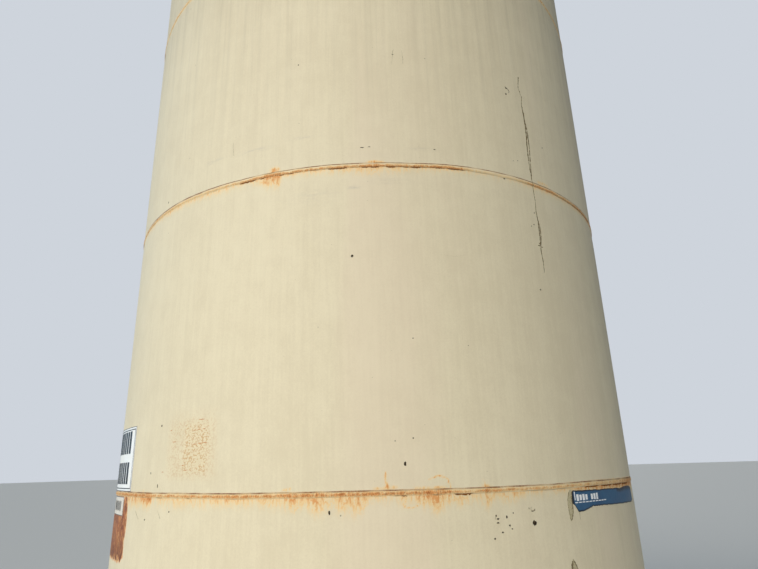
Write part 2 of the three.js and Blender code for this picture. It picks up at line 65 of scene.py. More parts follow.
SHELL_BASE = BOTTOM_PLATE
SHELL_TOP = SHELL_BASE + COURSE_COUNT * COURSE_HEIGHT
EAVE_RADIUS = SHELL_RADIUS + ROOF_LEDGE
EAVE_HEIGHT = SHELL_TOP + SEAT
ROOF_SLOPE = ROOF_RISE / EAVE_RADIUS
SEAMS = [SHELL_BASE + number * COURSE_HEIGHT for number in range(1, COURSE_COUNT)]
BEADS = [seam + lift for seam, lift in zip(SEAMS, BEAD_LIFTS)]

# Azimuths of the fittings
VERTICAL_WELDS = [110, 255, 120, 245]
SHELL_MANWAY = 150
GROUND_LUG = 170
LADDER = 180
DRAIN = 195
OUTLET = 210
LIFTING_LUGS = {"right": 90, "left": 270}

# Where the fine part of the shell's front ends, and the steps on it and on the rest
FRONT_HALF = 70
FRONT_STEP = 0.25
BACK_STEP = 1.0


def srgb(red, green, blue):
    """A display colour, 0 to 255, as the linear colour that a shader takes."""
    channels = [value / 255 for value in (red, green, blue)]
    return tuple(c / 12.92 if c <= 0.04045 else ((c + 0.055) / 1.055) ** 2.4 for c in channels) + (1.0,)


def placed(name, data):
    """A new object in the scene."""
    made = bpy.data.objects.new(name, data)
    bpy.context.scene.collection.objects.link(made)
    return made


# The photographer's place, and how the camera is turned in degrees
EYE_HEIGHT = 1.629
EYE_DISTANCE = 4.030
CAMERA_TURNS = {"pitch": 18.24, "heading": 0.93, "roll": 1.70}
SENSOR_WIDTH = 36.0
FOCAL_LENGTH = 26.55
CAMERA_REACH = (0.05, 1000.0)

# Lights: azimuth, elevation, strength, spread in degrees, colour
SUNS = {
    "key": (-30, 20, 3.38, 70, (1.0, 0.949, 0.871)),
    "side": (-100, 15, 0.70, 80, (0.30, 0.64, 1.0)),
    "fill": (172, 8, 1.1, 40, (1.0, 0.98, 0.95)),
}
SKY_LIGHT = (0.54, 0.76, 1.0, 1.0)
SKY_STRENGTH = 0.18
SKY_SEEN = srgb(206, 212, 220)


def make_camera():
    """The photographer stands in front of the tank at eye height and looks up at it."""
    pitch, heading, roll = (math.radians(turn) for turn in CAMERA_TURNS.values())
    forward = Vector(
        (math.sin(heading) * math.cos(pitch), math.cos(heading) * math.cos(pitch), math.sin(pitch))
    )
    right = forward.cross(Vector((0, 0, 1))).normalized()
    up = right.cross(forward)
    turned_right = right * math.cos(roll) + up * -math.sin(roll)
    turned_up = up * math.cos(roll) + right * math.sin(roll)
    data = bpy.data.cameras.new("camera")
    data.sensor_width = SENSOR_WIDTH
    data.lens = FOCAL_LENGTH
    data.clip_start, data.clip_end = CAMERA_REACH
    camera = placed("camera", data)
    basis = Matrix((turned_right, turned_up, -forward)).transposed().to_4x4()
    camera.matrix_world = Matrix.Translation((0, -EYE_DISTANCE, EYE_HEIGHT)) @ basis
    bpy.context.scene.camera = camera


def make_sun(name, azimuth, elevation, strength, spread, colour):
    """A soft light that comes from an azimuth and an elevation."""
    data = bpy.data.lights.new(name, "SUN")
    data.energy = strength
    data.angle = math.radians(spread)
    data.color = colour
    a, e = math.radians(azimuth), math.radians(elevation)
    source = Vector((math.sin(a) * math.cos(e), -math.cos(a) * math.cos(e), math.sin(e)))
    placed(name, data).rotation_euler = source.to_track_quat("Z", "Y").to_euler()


def make_world():
    """An even sky that lights softly and looks pale grey."""
    world = bpy.data.worlds.new("world")
    bpy.context.scene.world = world
    world.use_nodes = True
    tree = world.node_tree
    tree.nodes.clear()
    ambient, seen = (tree.nodes.new("ShaderNodeBackground") for _ in range(2))
    ambient.inputs["Color"].default_value = SKY_LIGHT
    ambient.inputs["Strength"].default_value = SKY_STRENGTH
    seen.inputs["Color"].default_value = SKY_SEEN
    path = tree.nodes.new("ShaderNodeLightPath")
    blend = tree.nodes.new("ShaderNodeMixShader")
    output = tree.nodes.new("ShaderNodeOutputWorld")
    tree.links.new(path.outputs["Is Camera Ray"], blend.inputs[0])
    tree.links.new(ambient.outputs[0], blend.inputs[1])
    tree.links.new(seen.outputs[0], blend.inputs[2])
    tree.links.new(blend.outputs[0], output.inputs[0])
    bpy.context.scene.view_settings.view_transform = "Standard"


# Materials
class Finish:
    """The node graph of one material, with short calls for the nodes that it needs."""

    def __init__(self, name):
        self.material = bpy.data.materials.new(name)
        self.material.use_nodes = True
        self.tree = self.material.node_tree
        self.shader = self.tree.nodes["Principled BSDF"]
        self.place = self.node("TexCoord").outputs["Object"]

    def put(self, node, inputs):
        for key, value in inputs.items():
            if isinstance(value, bpy.types.NodeSocket):
                self.tree.links.new(value, node.inputs[key])
            else:
                node.inputs[key].default_value = value

    def node(self, kind, inputs=None, **settings):
        """A node of a kind. Its inputs are given by name or by number, as a number, a colour or a socket."""
        made = self.tree.nodes.new("ShaderNode" + kind)
        for key, value in settings.items():
            setattr(made, key, value)
        self.put(made, inputs or {})
        return made

    def math(self, operation, *values, clamp=False):
        return self.node("Math", dict(enumerate(values)), operation=operation, use_clamp=clamp).outputs[0]

    def both(self, a, b, clamp=False):
        """The product of two amounts."""
        return self.math("MULTIPLY", a, b, clamp=clamp)

    def rest(self, amount):
        """What an amount leaves of 1."""
        return self.math("SUBTRACT", 1.0, amount)

    def sum(self, *terms):
        """The sum of pairs of a value and its weight, and of plain numbers."""
        total = None
        for term in terms:
            value = self.both(*term) if isinstance(term, tuple) else term
            total = value if total is None else self.math("ADD", total, value)
        return total

    def stretched(self, tall):
        """Places on the object, with their height times a number: below 1, patterns run up and down."""
        if tall == 1:
            return self.place
        return self.node("VectorMath", {0: self.place, 1: (1, 1, tall)}, operation="MULTIPLY").outputs[0]

    def noise(self, scale, detail=2.0, roughness=0.5, tall=1):
        inputs = {"Vector": self.stretched(tall), "Scale": scale, "Detail": detail, "Roughness": roughness}
        return self.node("TexNoise", inputs).outputs["Fac"]

    def layered(self, *layers, base=None):
        """Layers of noise in one: scale, detail, roughness, tall and weight of each."""
        terms = [(self.noise(*layer), weight) for *layer, weight in layers]
        return self.sum(*terms, *([] if base is None else [base]))

    def patches(self, low, high, *noise):
        """Patches with soft edges, where a noise is high."""
        return self.step(self.noise(*noise), low, high)

    def cells(self, scale):
        """Distance to the nearest of scattered points, and a random number for that point."""
        node = self.node("TexVoronoi", {"Vector": self.place, "Scale": scale})
        return node.outputs["Distance"], self.node("SeparateColor", {0: node.outputs["Color"]}).outputs[0]

    def veins(self, scale, tall, thin, thick):
        """A net of fine lines: 1 on the lines and 0 between them."""
        inputs = {"Vector": self.stretched(tall), "Scale": scale}
        net = self.node("TexVoronoi", inputs, feature="DISTANCE_TO_EDGE")
        return self.rest(self.step(net.outputs["Distance"], thin, thick))

    def fibres(self, scale, tall, thick):
        """Fine winding threads: 1 in their middle and 0 between them."""
        ridge = self.math("ABSOLUTE", self.math("SUBTRACT", self.noise(scale, 3.0, 0.55, tall), 0.5))
        return self.rest(self.step(ridge, 0.0, thick))

    def step(self, value, low, high):
        """Rises smoothly from 0 at low to 1 at high."""
        inputs = {"Value": value, "From Min": low, "From Max": high}
        return self.node("MapRange", inputs, interpolation_type="SMOOTHSTEP").outputs["Result"]

    def scale(self, value, low, high):
        """Takes 0 to 1 to low to high."""
        return self.node("MapRange", {"Value": value, "To Min": low, "To Max": high}).outputs["Result"]

    def mix(self, factor, a, b):
        return self.node("Mix", {0: factor, 6: a, 7: b}, data_type="RGBA").outputs[2]

    def over(self, colour, tone, amount, share):
        """A colour with a share of a tone laid over it, as far as the amount goes."""
        return self.mix(self.both(amount, share), colour, tone)

    def attribute(self, name):
        return self.node("Attribute", attribute_name=name).outputs["Fac"]

    def height(self):
        return self.node("SeparateXYZ", {0: self.place}).outputs["Z"]

    def bump(self, height, distance, **under):
        return self.node("Bump", {"Height": height, "Distance": distance, **under}).outputs["Normal"]

    def finish(self, colour, roughness, normal, metallic=0.0, specular=0.4):
        inputs = {"Base Color": colour, "Roughness": roughness, "Normal": normal, "Metallic": metallic}
        self.put(self.shader, {**inputs, "Specular IOR Level": specular})
        return self.material


CREAM_PALE = srgb(227, 216, 186)
CREAM_DEEP = srgb(218, 206, 176)
CREAM_PINK = srgb(224, 207, 182)
STAIN = srgb(236, 200, 138)
ORANGE = srgb(216, 146, 82)
BROWN = srgb(166, 94, 46)
# A grey-brown for dirt; on the shell it also paints shade that darkens the shell towards the top
GRIME_AND_SHADE = srgb(128, 118, 98)

# Layers of noise in the cream paint, and a number that centres their sum
CREAM_LAYERS = [
    (0.7, 3.0, 0.5, 1, 0.45), (11.0, 4.0, 0.6, 0.03, 0.45), (70.0, 3.0, 0.6, 0.05, 0.45),
    (9.0, 6.0, 0.65, 1, 0.6), (125.0, 2.0, 0.6, 1, 0.5),
]
CREAM_BASE = -0.725

# Painted shade and dirt on the shell: heights where each starts and is full, its share, and the patches that
# break it up
SHELL_SHADE_AND_DIRT = [
    # The first two rows, without patches, are painted shade that darkens the shell towards the top; the other
    # two are dirt
    (0.6, 6.0, 0.15, None),
    (4.0, 4.6, 0.13, None),
    (2.9, 4.4, 0.14, (0.42, 0.72, 27.0, 4.0, 0.6, 0.02)),
    (SHELL_TOP - 0.9, SHELL_TOP, 0.4, (0.42, 0.7, 13.0, 4.0, 0.6, 0.04)),
]


def cream_tone(f):
    """Weathered cream paint, slightly streaked from top to bottom."""
    tone = f.layered(*CREAM_LAYERS, base=CREAM_BASE)
    colour = f.mix(f.step(tone, 0.25, 0.75), CREAM_DEEP, CREAM_PALE)
    return f.over(colour, CREAM_PINK, f.patches(0.52, 0.72, 2.1, 3.0, 0.5, 0.12), 0.35)


def rusted(f, colour, amount, threads=False):
    """Rust over a colour: a pale stain, then orange, then brown. Also tells how rough it is."""
    ragged = f.step(f.layered((84.0, 4.0, 0.6, 0.16, 0.55), (190.0, 4.0, 0.7, 1, 0.45)), 0.3, 0.7)
    value = f.scale(ragged, 0.35, 1.5)
    if threads:
        value = f.sum((value, 0.7), (f.fibres(34.0, 0.45, 0.075), 0.55))
    value = f.both(amount, value)
    orange = f.step(value, 0.28, 0.8)
    colour = f.over(colour, STAIN, f.step(value, 0.03, 0.42), 0.75)
    colour = f.over(colour, ORANGE, orange, 0.85)
    return f.over(colour, BROWN, f.step(value, 0.85, 1.4), 0.75), orange


def pocked(f, colour, scale, share, radius, shade):
    """Scattered small dark marks, each at one of the points of a cell pattern."""
    distance, lot = f.cells(scale)
    inside = f.rest(f.step(distance, radius * 0.6, radius))
    return f.over(colour, shade, f.both(inside, f.math("GREATER_THAN", lot, 1.0 - share)), 0.8)


def shell_shade_and_dirt(f, colour):
    """Painted shade that darkens the shell towards the top, dirt in patches, rain dirt below the eave and
    splashes near the ground.
    """
    height = f.height()
    # Rows without patches paint shade that darkens the shell towards the top
    for low, high, share, patches in SHELL_SHADE_AND_DIRT:
        amount = f.step(height, low, high)
        if patches:
            amount = f.both(amount, f.patches(*patches))
        colour = f.over(colour, GRIME_AND_SHADE, amount, share)
    splash = f.rest(f.step(height, 0.02, 0.42))
    spatter = f.scale(f.patches(0.36, 0.7, 64.0, 6.0, 0.7, 0.7), 0.06, 0.42)
    return f.over(colour, GRIME_AND_SHADE, f.both(splash, splash), spatter)


def flecked(f, colour):
    """Flecks of rust in a net of fine lines, where the paint has crazed."""
    where = f.attribute("flecks")
    lines = f.both(f.veins(60.8, 1.4375, 0.05, 0.2), f.patches(0.44, 0.58, 84.0, 4.0, 0.65))
    colour = f.over(colour, srgb(240, 212, 150), where, 0.14)
    return f.over(colour, srgb(198, 156, 104), f.both(lines, where), 0.85)


def bared(f, colour):
    """Bare plate that has rusted brown, with a paler rim and a darker foot."""
    torn = f.scale(f.patches(0.34, 0.66, 50.0, 4.0, 0.6, 0.5), 0.45, 1.35)
    bare = f.both(f.attribute("bare"), torn)
    colour = f.mix(f.step(bare, 0.12, 0.42), colour, srgb(226, 166, 108))
    rust = f.mix(f.patches(0.42, 0.6, 46.0, 6.0, 0.72, 0.6), srgb(152, 88, 56), srgb(196, 132, 80))
    rust = f.over(rust, srgb(112, 60, 42), f.patches(0.46, 0.6, 36.0, 6.0, 0.72, 0.5), 0.8)
    rust = f.over(rust, srgb(232, 190, 134), f.patches(0.57, 0.68, 68.0, 5.0, 0.7, 0.6), 0.75)
    rust = f.over(rust, srgb(100, 62, 42), f.rest(f.step(f.height(), 1.22, 1.42)), 0.52)
    return f.mix(f.step(bare, 0.4, 0.52), colour, rust)


def shell_finish():
    f = Finish("shell_paint")
    colour = pocked(f, cream_tone(f), 9.0, 0.3, 0.035, srgb(120, 112, 88))
    colour = pocked(f, colour, 23.0, 0.12, 0.05, srgb(176, 164, 132))
    colour, rough = rusted(f, shell_shade_and_dirt(f, colour), f.attribute("rust"), threads=True)
    colour = bared(f, flecked(f, colour))
    smear = f.patches(0.35, 0.65, 15.0, 4.0, 0.6, 4)
    colour = f.over(colour, srgb(156, 150, 146), f.attribute("smudge"), smear)
    waves = f.layered((330.0, 2.0, 0.5, 1, 0.25), (48.0, 3.0, 0.5, 1, 0.5), (26.0, 2.0, 0.5, 0.3, 0.8))
    normal = f.bump(f.both(rough, f.noise(260.0, 4.0, 0.7)), 0.0012, Normal=f.bump(waves, 0.0007))
    gloss = f.math("MAXIMUM", f.scale(f.noise(8.0, 3.0), 0.5, 0.66), f.both(rough, 0.9))
    return f.finish(colour, gloss, normal, specular=0.3)


def bead_finish():
    f = Finish("weld_paint")
    rust = f.attribute("rust")
    colour, rough = rusted(f, f.mix(0.22, cream_tone(f), STAIN), rust)
    crust = f.both(f.patches(0.42, 0.62, 230.0, 3.0, 0.65, 0.6), f.step(rust, 0.15, 0.75))
    colour = f.over(colour, srgb(134, 84, 48), crust, 0.55)
    # The shade attribute paints dark brown shade in the crease along the bead's upper edge and in the gap
    # under it, partly brown rust
    broken = f.scale(f.noise(110.0, 3.0, 0.6, 0.4), 0.35, 1.45)
    colour = f.mix(f.both(f.attribute("shade"), broken, clamp=True), colour, srgb(116, 68, 30))
    normal = f.bump(f.layered((120.0, 3.0, 0.6, 1, 0.6), (300.0, 3.0, 0.6, 1, 0.4)), 0.003)
    return f.finish(colour, f.math("MAXIMUM", 0.6, f.both(rough, 0.92)), normal, specular=0.3)


# Tones of patchy rust: its stain, its rim and its dark middle
PAINT_RUST = (STAIN, srgb(194, 130, 78), srgb(134, 80, 48))
STEEL_RUST = (srgb(158, 132, 104), srgb(150, 104, 68), srgb(104, 70, 48))
IRON_RUST = (srgb(104, 82, 64), srgb(122, 82, 54), srgb(92, 60, 42))


def patchy_rust(f, colour, share, edges, tones):
    """Rust in patches and along worn edges: a stain, a rim and a dark middle. Also tells how rough it is."""
    broad, fine = f.noise(7.0, 4.0, 0.6), f.noise(72.0, 5.0, 0.68, 0.55)
    value = f.sum((broad, 0.42), (fine, 0.58), (f.attribute("wear"), edges), share)
    stain, rim, core = tones
    rough = f.step(value, 0.62, 0.7)
    colour = f.over(colour, stain, f.step(value, 0.53, 0.68), 0.6)
    colour = f.over(colour, rim, rough, 0.8)
    return f.over(colour, core, f.step(value, 0.67, 0.75), 0.85), rough


def fitting_finish(name, share, edges, dirt):
    """Cream paint on flanges, pipes and bars, rusting from its worn edges."""
    f = Finish(name)
    colour = f.over(cream_tone(f), GRIME_AND_SHADE, f.patches(0.42, 0.74, 14.0, 5.0, 0.65, 0.4), dirt)
    colour, rough = patchy_rust(f, colour, share, edges, PAINT_RUST)
    normal = f.bump(f.sum((f.noise(180.0, 3.0), 0.4), (rough, 0.4)), 0.0012)
    gloss = f.math("MAXIMUM", f.scale(f.noise(10.0), 0.48, 0.66), f.both(rough, 0.88))
    return f.finish(colour, gloss, normal, specular=0.35)


def roof_finish():
    f = Finish("roof_paint")
    colour = f.over(cream_tone(f), GRIME_AND_SHADE, f.patches(0.36, 0.74, 4.6, 7.0, 0.68), 0.3)
    colour = f.over(colour, srgb(104, 98, 84), f.patches(0.56, 0.74, 31.0, 5.0, 0.7), 0.22)
    colour = pocked(f, colour, 14.0, 0.3, 0.06, srgb(120, 106, 82))
    amount = f.sum((f.patches(0.61, 0.78, 7.5, 6.0, 0.72), 0.62), (f.attribute("rust"), 1.0))
    colour, rough = rusted(f, colour, amount)
    normal = f.bump(f.sum((f.noise(140.0, 4.0), 0.4), (rough, 0.5)), 0.0012)
    return f.finish(colour, f.scale(rough, 0.6, 0.9), normal, specular=0.3)


def steel_finish(name, share, edges, low, high, metallic):
    """Dull grey metal with a mottled surface and some rust."""
    f = Finish(name)
    bloom = f.step(f.layered((30.0, 5.0, 0.65, 1, 0.6), (9.0, 3.0, 0.5, 1, 0.4)), 0.36, 0.62)
    colour, rough = patchy_rust(f, f.mix(bloom, low, high), share, edges, STEEL_RUST)
    normal = f.bump(f.sum((f.noise(210.0, 3.0), 0.5), (rough, 0.5)), 0.0008)
    return f.finish(colour, f.scale(f.noise(26.0, 4.0), 0.48, 0.7), normal, f.both(f.rest(rough), metallic))


def aluminium_finish():
    """Cast aluminium, dull from the weather, with a white bloom and dirt."""
    f = Finish("cast_aluminium")
    bloom = f.patches(0.34, 0.68, 34.0, 5.0, 0.65)
    colour = f.mix(bloom, srgb(176, 172, 163), srgb(208, 204, 195))
    colour = f.over(colour, srgb(138, 130, 114), f.patches(0.45, 0.72, 11.0, 5.0, 0.6), 0.35)
    colour = f.over(colour, srgb(206, 204, 198), f.patches(0.6, 0.7, 160.0, 3.0, 0.6), 0.35)
    normal = f.bump(f.layered((210.0, 3.0, 0.5, 1, 0.5), (48.0, 3.0, 0.5, 1, 0.5)), 0.0009)
    return f.finish(colour, f.scale(bloom, 0.46, 0.66), normal, metallic=0.12)


def iron_finish():
    """Cast iron that has browned in the weather."""
    f = Finish("cast_iron")
    colour = f.mix(f.patches(0.38, 0.68, 28.0, 5.0, 0.65), srgb(62, 57, 52), srgb(96, 90, 82))
    colour, rough = patchy_rust(f, colour, 0.07, 0.06, IRON_RUST)
    normal = f.bump(f.sum((f.noise(150.0, 4.0, 0.6), 0.8), (rough, 0.4)), 0.0014)
    return f.finish(colour, f.scale(rough, 0.58, 0.88), normal, metallic=0.1)


def notice_finish(name, clean, dusty):
    """A painted plate, dusty in patches, with painted shade along its edge."""
    f = Finish(name)
    dust = f.patches(0.4, 0.75, 12.0, 5.0, 0.6)
    colour = f.over(clean, dusty, dust, 0.4)
    # Painted shade along the plate's edge, broken up in patches
    edge = f.both(f.attribute("edge"), f.patches(0.35, 0.7, 90.0, 3.0))
    colour = f.over(colour, srgb(120, 112, 96), edge, 0.5)
    return f.finish(colour, f.scale(dust, 0.34, 0.5), f.bump(f.noise(60.0, 3.0), 0.0004), specular=0.5)


def print_finish(name, colour, faded):
    """Printed ink, slightly faded in patches."""
    f = Finish(name)
    worn = f.patches(0.5, 0.72, 70.0, 5.0, 0.7, 0.4)
    normal = f.bump(f.noise(90.0, 3.0), 0.0003)
    return f.finish(f.over(colour, faded, worn, 0.6), f.scale(worn, 0.4, 0.6), normal)


def sticker_finish():
    f = Finish("sticker_blue")
    faded = f.patches(0.3, 0.75, 9.0, 5.0, 0.65)
    colour = f.mix(faded, srgb(38, 80, 118), srgb(58, 102, 136))
    colour = f.over(colour, srgb(130, 150, 168), f.patches(0.62, 0.74, 110.0, 4.0, 0.7, 2.0), 0.25)
    # Near-black along the edges: painted shadow under the sticker's curling edges, with dirt
    edge = f.both(f.attribute("edge"), f.scale(f.noise(80.0, 3.0), 0.6, 1.3), clamp=True)
    colour = f.mix(edge, colour, srgb(26, 28, 32))
    normal = f.bump(f.layered((40.0, 4.0, 0.6, 1, 1.0), (170.0, 3.0, 0.5, 1, 0.4)), 0.0012)
    return f.finish(colour, f.scale(faded, 0.4, 0.58), normal, specular=0.5)


def mark_finish(name, low, high):
    """A cut, chip or scrape in the paint."""
    f = Finish(name)
    colour = f.mix(f.patches(0.35, 0.65, 130.0, 4.0, 0.7), low, high)
    return f.finish(colour, 0.85, f.bump(f.noise(240.0, 3.0), 0.0008), specular=0.2)


def floor_finish():
    f = Finish("studio_floor")
    colour = f.mix(f.patches(0.3, 0.7, 40.0, 4.0), srgb(207, 206, 202), srgb(211, 210, 206))
    return f.finish(colour, 0.9, f.bump(f.noise(60.0, 2.0), 0.0005), specular=0.1)


SHELL = shell_finish()
WELD = bead_finish()
FITTING = fitting_finish("fitting_paint", 0.02, 0.11, 0.3)
LADDER_PAINT = fitting_finish("ladder_paint", 0.015, 0.08, 0.25)
STEEL = steel_finish("galvanized_steel", 0.0, 0.04, srgb(140, 137, 129), srgb(170, 167, 158), 0.3)
BOLT_STEEL = steel_finish("bolt_steel", 0.11, 0.0, srgb(132, 124, 110), srgb(164, 156, 140), 0.15)
ALUMINIUM = aluminium_finish()
IRON = iron_finish()


# Shapes
def store(mesh, **values):
    """Keeps one number for each point of a mesh under a name that its material reads."""
    for key, value in values.items():
        level = np.zeros(len(mesh.vertices), np.float32) + np.asarray(value, np.float32)
        mesh.attributes.new(key, "FLOAT", "POINT").data.foreach_set("value", level)


def dress(name, mesh, material, nodes, sharp, weighted):
    """Makes a mesh a piece of the tank."""
    mesh.materials.append(material)
    mesh.polygons.foreach_set("use_smooth", [True] * len(mesh.polygons))
    mesh.set_sharp_from_angle(angle=math.radians(sharp))
    piece = placed(name, mesh)
    if weighted:
        piece.modifiers.new("normals", "WEIGHTED_NORMAL").keep_sharp = True
    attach(piece, "root")
    if nodes:
        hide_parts(*nodes)


class Shape:
    """Gathers points and faces, with one float per point that says how worn it is, and makes one piece."""

    def __init__(self, part=None, matrix=None):
        self.points, self.faces, self.wear = [], [], []
        self.count = 0
        if part:
            self.add(part, matrix)

    def add(self, part, matrix=None):
        points, faces, wear = part
        points = np.asarray(points, float)
        if matrix is not None:
            m = np.array(matrix)
            points = points @ m[:3, :3].T + m[:3, 3]
        self.points.append(points)
        self.faces.extend([tuple(i + self.count for i in face) for face in faces])
        self.wear.append(np.zeros(len(points)) + wear)
        self.count += len(points)

    def mesh(self, name):
        mesh = bpy.data.meshes.new(name)
        mesh.from_pydata(np.concatenate(self.points).tolist(), [], self.faces)
        return mesh

    def make(self, name, material, slot=None, nodes=(), sharp=38, weighted=True, **values):
        mesh = self.mesh(name)
        repair = bmesh.new()
        repair.from_mesh(mesh)
        bmesh.ops.recalc_face_normals(repair, faces=repair.faces[:])
        repair.to_mesh(mesh)
        repair.free()
        store(mesh, wear=np.concatenate(self.wear), **values)
        dress(name, mesh, material, nodes, sharp, weighted)

    def lay(self, name, material, slot=None, nodes=(), sharp=50, **values):
        """Makes a piece whose faces keep their own normals, such as a thin one that lies on the shell."""
        self.make(name, material, slot, nodes, sharp, False, **values)


def lofted(points, closed=True, wear=0.0):
    """Columns of points, each a closed section, as a part that closes on itself or has its ends capped."""
    points = np.asarray(points, float)
    columns, rows = points.shape[:2]
    i = np.arange(columns if closed else columns - 1)[:, None]
    j = np.arange(rows)[None, :]
    k, m = (i + 1) % columns, (j + 1) % rows
    corners = [a * rows + b for a, b in ((i, j), (k, j), (k, m), (i, m))]
    faces = np.stack(np.broadcast_arrays(*corners), axis=-1).reshape(-1, 4).tolist()
    if not closed:
        faces += [range(rows), range(rows * (columns - 1), rows * columns)]
    return points.reshape(-1, 3), faces, wear


# How far wear reaches from an edge, and the shortest face whose middle is not worn
WEAR_REACH = 0.010
WEAR_SPAN = 0.030
# How far an edge is rounded where nothing else is said
SOFT_EDGE = 0.0015


def unworn(start, end):
    """Points without wear on a long straight line, beside its worn ends."""
    span = math.dist(start[:2], end[:2])
    if span < WEAR_SPAN:
        return []
    shares = [WEAR_REACH / span] if start[2] else []
    shares += [1 - WEAR_REACH / span] if end[2] else []
    return [tuple(p + (q - p) * share for p, q in zip(start[:2], end[:2])) + (0.0,) for share in shares]


def rounded(profile, soft, steps=3):
    """A closed profile with its corners rounded and worn, as points of radius, height and wear."""
    corners = []
    for i, (r, h) in enumerate(profile):
        before, after = profile[i - 1], profile[(i + 1) % len(profile)]
        to_before, to_after = math.dist(before, (r, h)), math.dist(after, (r, h))
        reach = min(soft, 0.4 * min(to_before, to_after))
        if r == 0 or reach < 1e-5:
            corners.append([(r, h, 0.0)])
            continue
        a = [p + (q - p) * reach / to_before for p, q in zip((r, h), before)]
        b = [p + (q - p) * reach / to_after for p, q in zip((r, h), after)]
        corner = []
        for k in range(steps + 1):
            t = k / steps
            curve = [(1 - t) ** 2 * x + 2 * t * (1 - t) * y + t * t * z for x, y, z in zip(a, (r, h), b)]
            corner.append((*curve, 1.0))
        corners.append(corner)
    made = []
    for corner, following in zip(corners, corners[1:] + corners[:1]):
        made += corner + unworn(corner[-1], following[0])
    return made


def turned(profile, sides, soft=SOFT_EDGE):
    """A profile of (radius, height) turned round Z, with its corners rounded."""
    points, wear, rows, faces = [], [], [], []
    angles = [2 * math.pi * j / sides for j in range(sides)]
    for r, h, mark in rounded(profile, soft):
        pole = r < 1e-7
        rows.append([len(points)] * sides if pole else list(range(len(points), len(points) + sides)))
        points += [(0.0, 0.0, h)] if pole else [(r * math.cos(t), r * math.sin(t), h) for t in angles]
        wear += [mark] * (1 if pole else sides)
    for lower, upper in zip(rows, rows[1:] + rows[:1]):
        for j in range(sides):
            k = (j + 1) % sides
            kept = list(dict.fromkeys([lower[j], lower[k], upper[k], upper[j]]))
            if len(kept) > 2:
                faces.append(tuple(kept))
    return points, faces, wear


def turned_piece(name, nodes, place, profile, sides, material, slot="cream_paint", soft=SOFT_EDGE):
    """A profile turned round the Z axis of a place, as a piece of its own."""
    Shape(turned(profile, sides, soft), place).make(name, material, slot, nodes)


def ring(inner, outer, low, high):
    return [(outer, low), (outer, high), (inner, high), (inner, low)]


def disc(radius, low, high):
    return [(0, low), (radius, low), (radius, high), (0, high)]


def block(x, y, z, soft=SOFT_EDGE):
    """A box with rounded edges, worn along them."""
    made = bmesh.new()
    bmesh.ops.create_cube(made, size=1.0)
    size = [high - low for low, high in (x, y, z)]
    centre = [(high + low) / 2 for low, high in (x, y, z)]
    for vertex in made.verts:
        vertex.co = Vector([c + s * v for c, s, v in zip(centre, size, vertex.co)])
    reach = min(soft, 0.3 * min(size))
    bmesh.ops.bevel(made, geom=made.edges[:], offset=reach, segments=2, profile=0.5, affect="EDGES")
    made.normal_update()
    middles = set()
    for face in [face for face in made.faces if max(abs(part) for part in face.normal) > 0.999]:
        if min(edge.calc_length() for edge in face.edges) > WEAR_SPAN:
            bmesh.ops.inset_individual(made, faces=[face], thickness=WEAR_REACH, use_even_offset=True)
            middles.update(face.verts)
    made.verts.index_update()
    points = [tuple(vertex.co) for vertex in made.verts]
    faces = [tuple(vertex.index for vertex in face.verts) for face in made.faces]
    wear = [0.0 if vertex in middles else 1.0 for vertex in made.verts]
    made.free()
    return points, faces, wear


def tube(path, radius, sides=20):
    """A round bar along a path, closed at its ends."""
    path = [Vector(p) for p in path]
    side = (path[1] - path[0]).normalized().orthogonal().normalized()
    turns = [2 * math.pi * j / sides for j in range(sides)]
    rings = []
    for i, at in enumerate(path):
        along = (path[min(i + 1, len(path) - 1)] - path[max(i - 1, 0)]).normalized()
        side = (side - along * side.dot(along)).normalized()
        other = along.cross(side)
        rings.append([tuple(at + (side * math.cos(t) + other * math.sin(t)) * radius) for t in turns])
    return lofted(rings, closed=False, wear=0.2)


def hexagon(radius, low, high):
    """A nut or a bolt's head: six sides, with a chamfer on top."""
    chamfer = 0.12 * radius
    profile = [(0, low), (radius, low), (radius, high - chamfer), (0.84 * radius, high), (0, high)]
    return turned(profile, 6, soft=0.0)


# A bolt's washer, and its other measures as shares of its diameter
WASHER = 0.003
BOLT_SHARES = {"washer": 1.1, "across": 0.9, "nut": 0.8, "head": 0.65, "end": 1.15}


def fastener(shape, matrix, size, grip):
    """A bolt through a flange at a matrix's origin, along its Z: nut above, head under the grip."""
    washer, across, nut, head, end = (share * size for share in BOLT_SHARES.values())
    tip = WASHER + end
    stud = [(0, 0), (0.5 * size, 0), (0.5 * size, tip - 0.002), (0.4 * size, tip), (0, tip)]
    below = Matrix.Translation((0, 0, -grip)) @ Matrix.Rotation(math.pi, 4, "X")
    shape.add(turned(disc(washer, 0, WASHER), 20, soft=0.0008), matrix)
    shape.add(hexagon(across, WASHER, WASHER + nut), matrix)
    shape.add(turned(stud, 12), matrix)
    shape.add(hexagon(across, 0.0, head), matrix @ below)


def bolt_circle(name, place, radius, count, size, face, grip):
    """A circle of bolts as one piece. The face is the height of the nuts' seat on the Z axis of a place."""
    bolts = Shape()
    for n in range(count):
        angle = 2 * math.pi * (n + 0.5) / count
        at = Matrix.Translation((radius * math.cos(angle), radius * math.sin(angle), face))
        fastener(bolts, place @ at @ Matrix.Rotation(0.7 * n, 4, "Z"), size, grip)
    bolts.make(name, BOLT_STEEL, "steel", sharp=25)


# The section of a weld round a pipe: how far out and up it goes, as shares of its leg
COLLAR_SECTION = [(0, 1), (0.3, 0.85), (0.75, 0.4), (1, 0)]
COLLAR_ROOT = -0.001


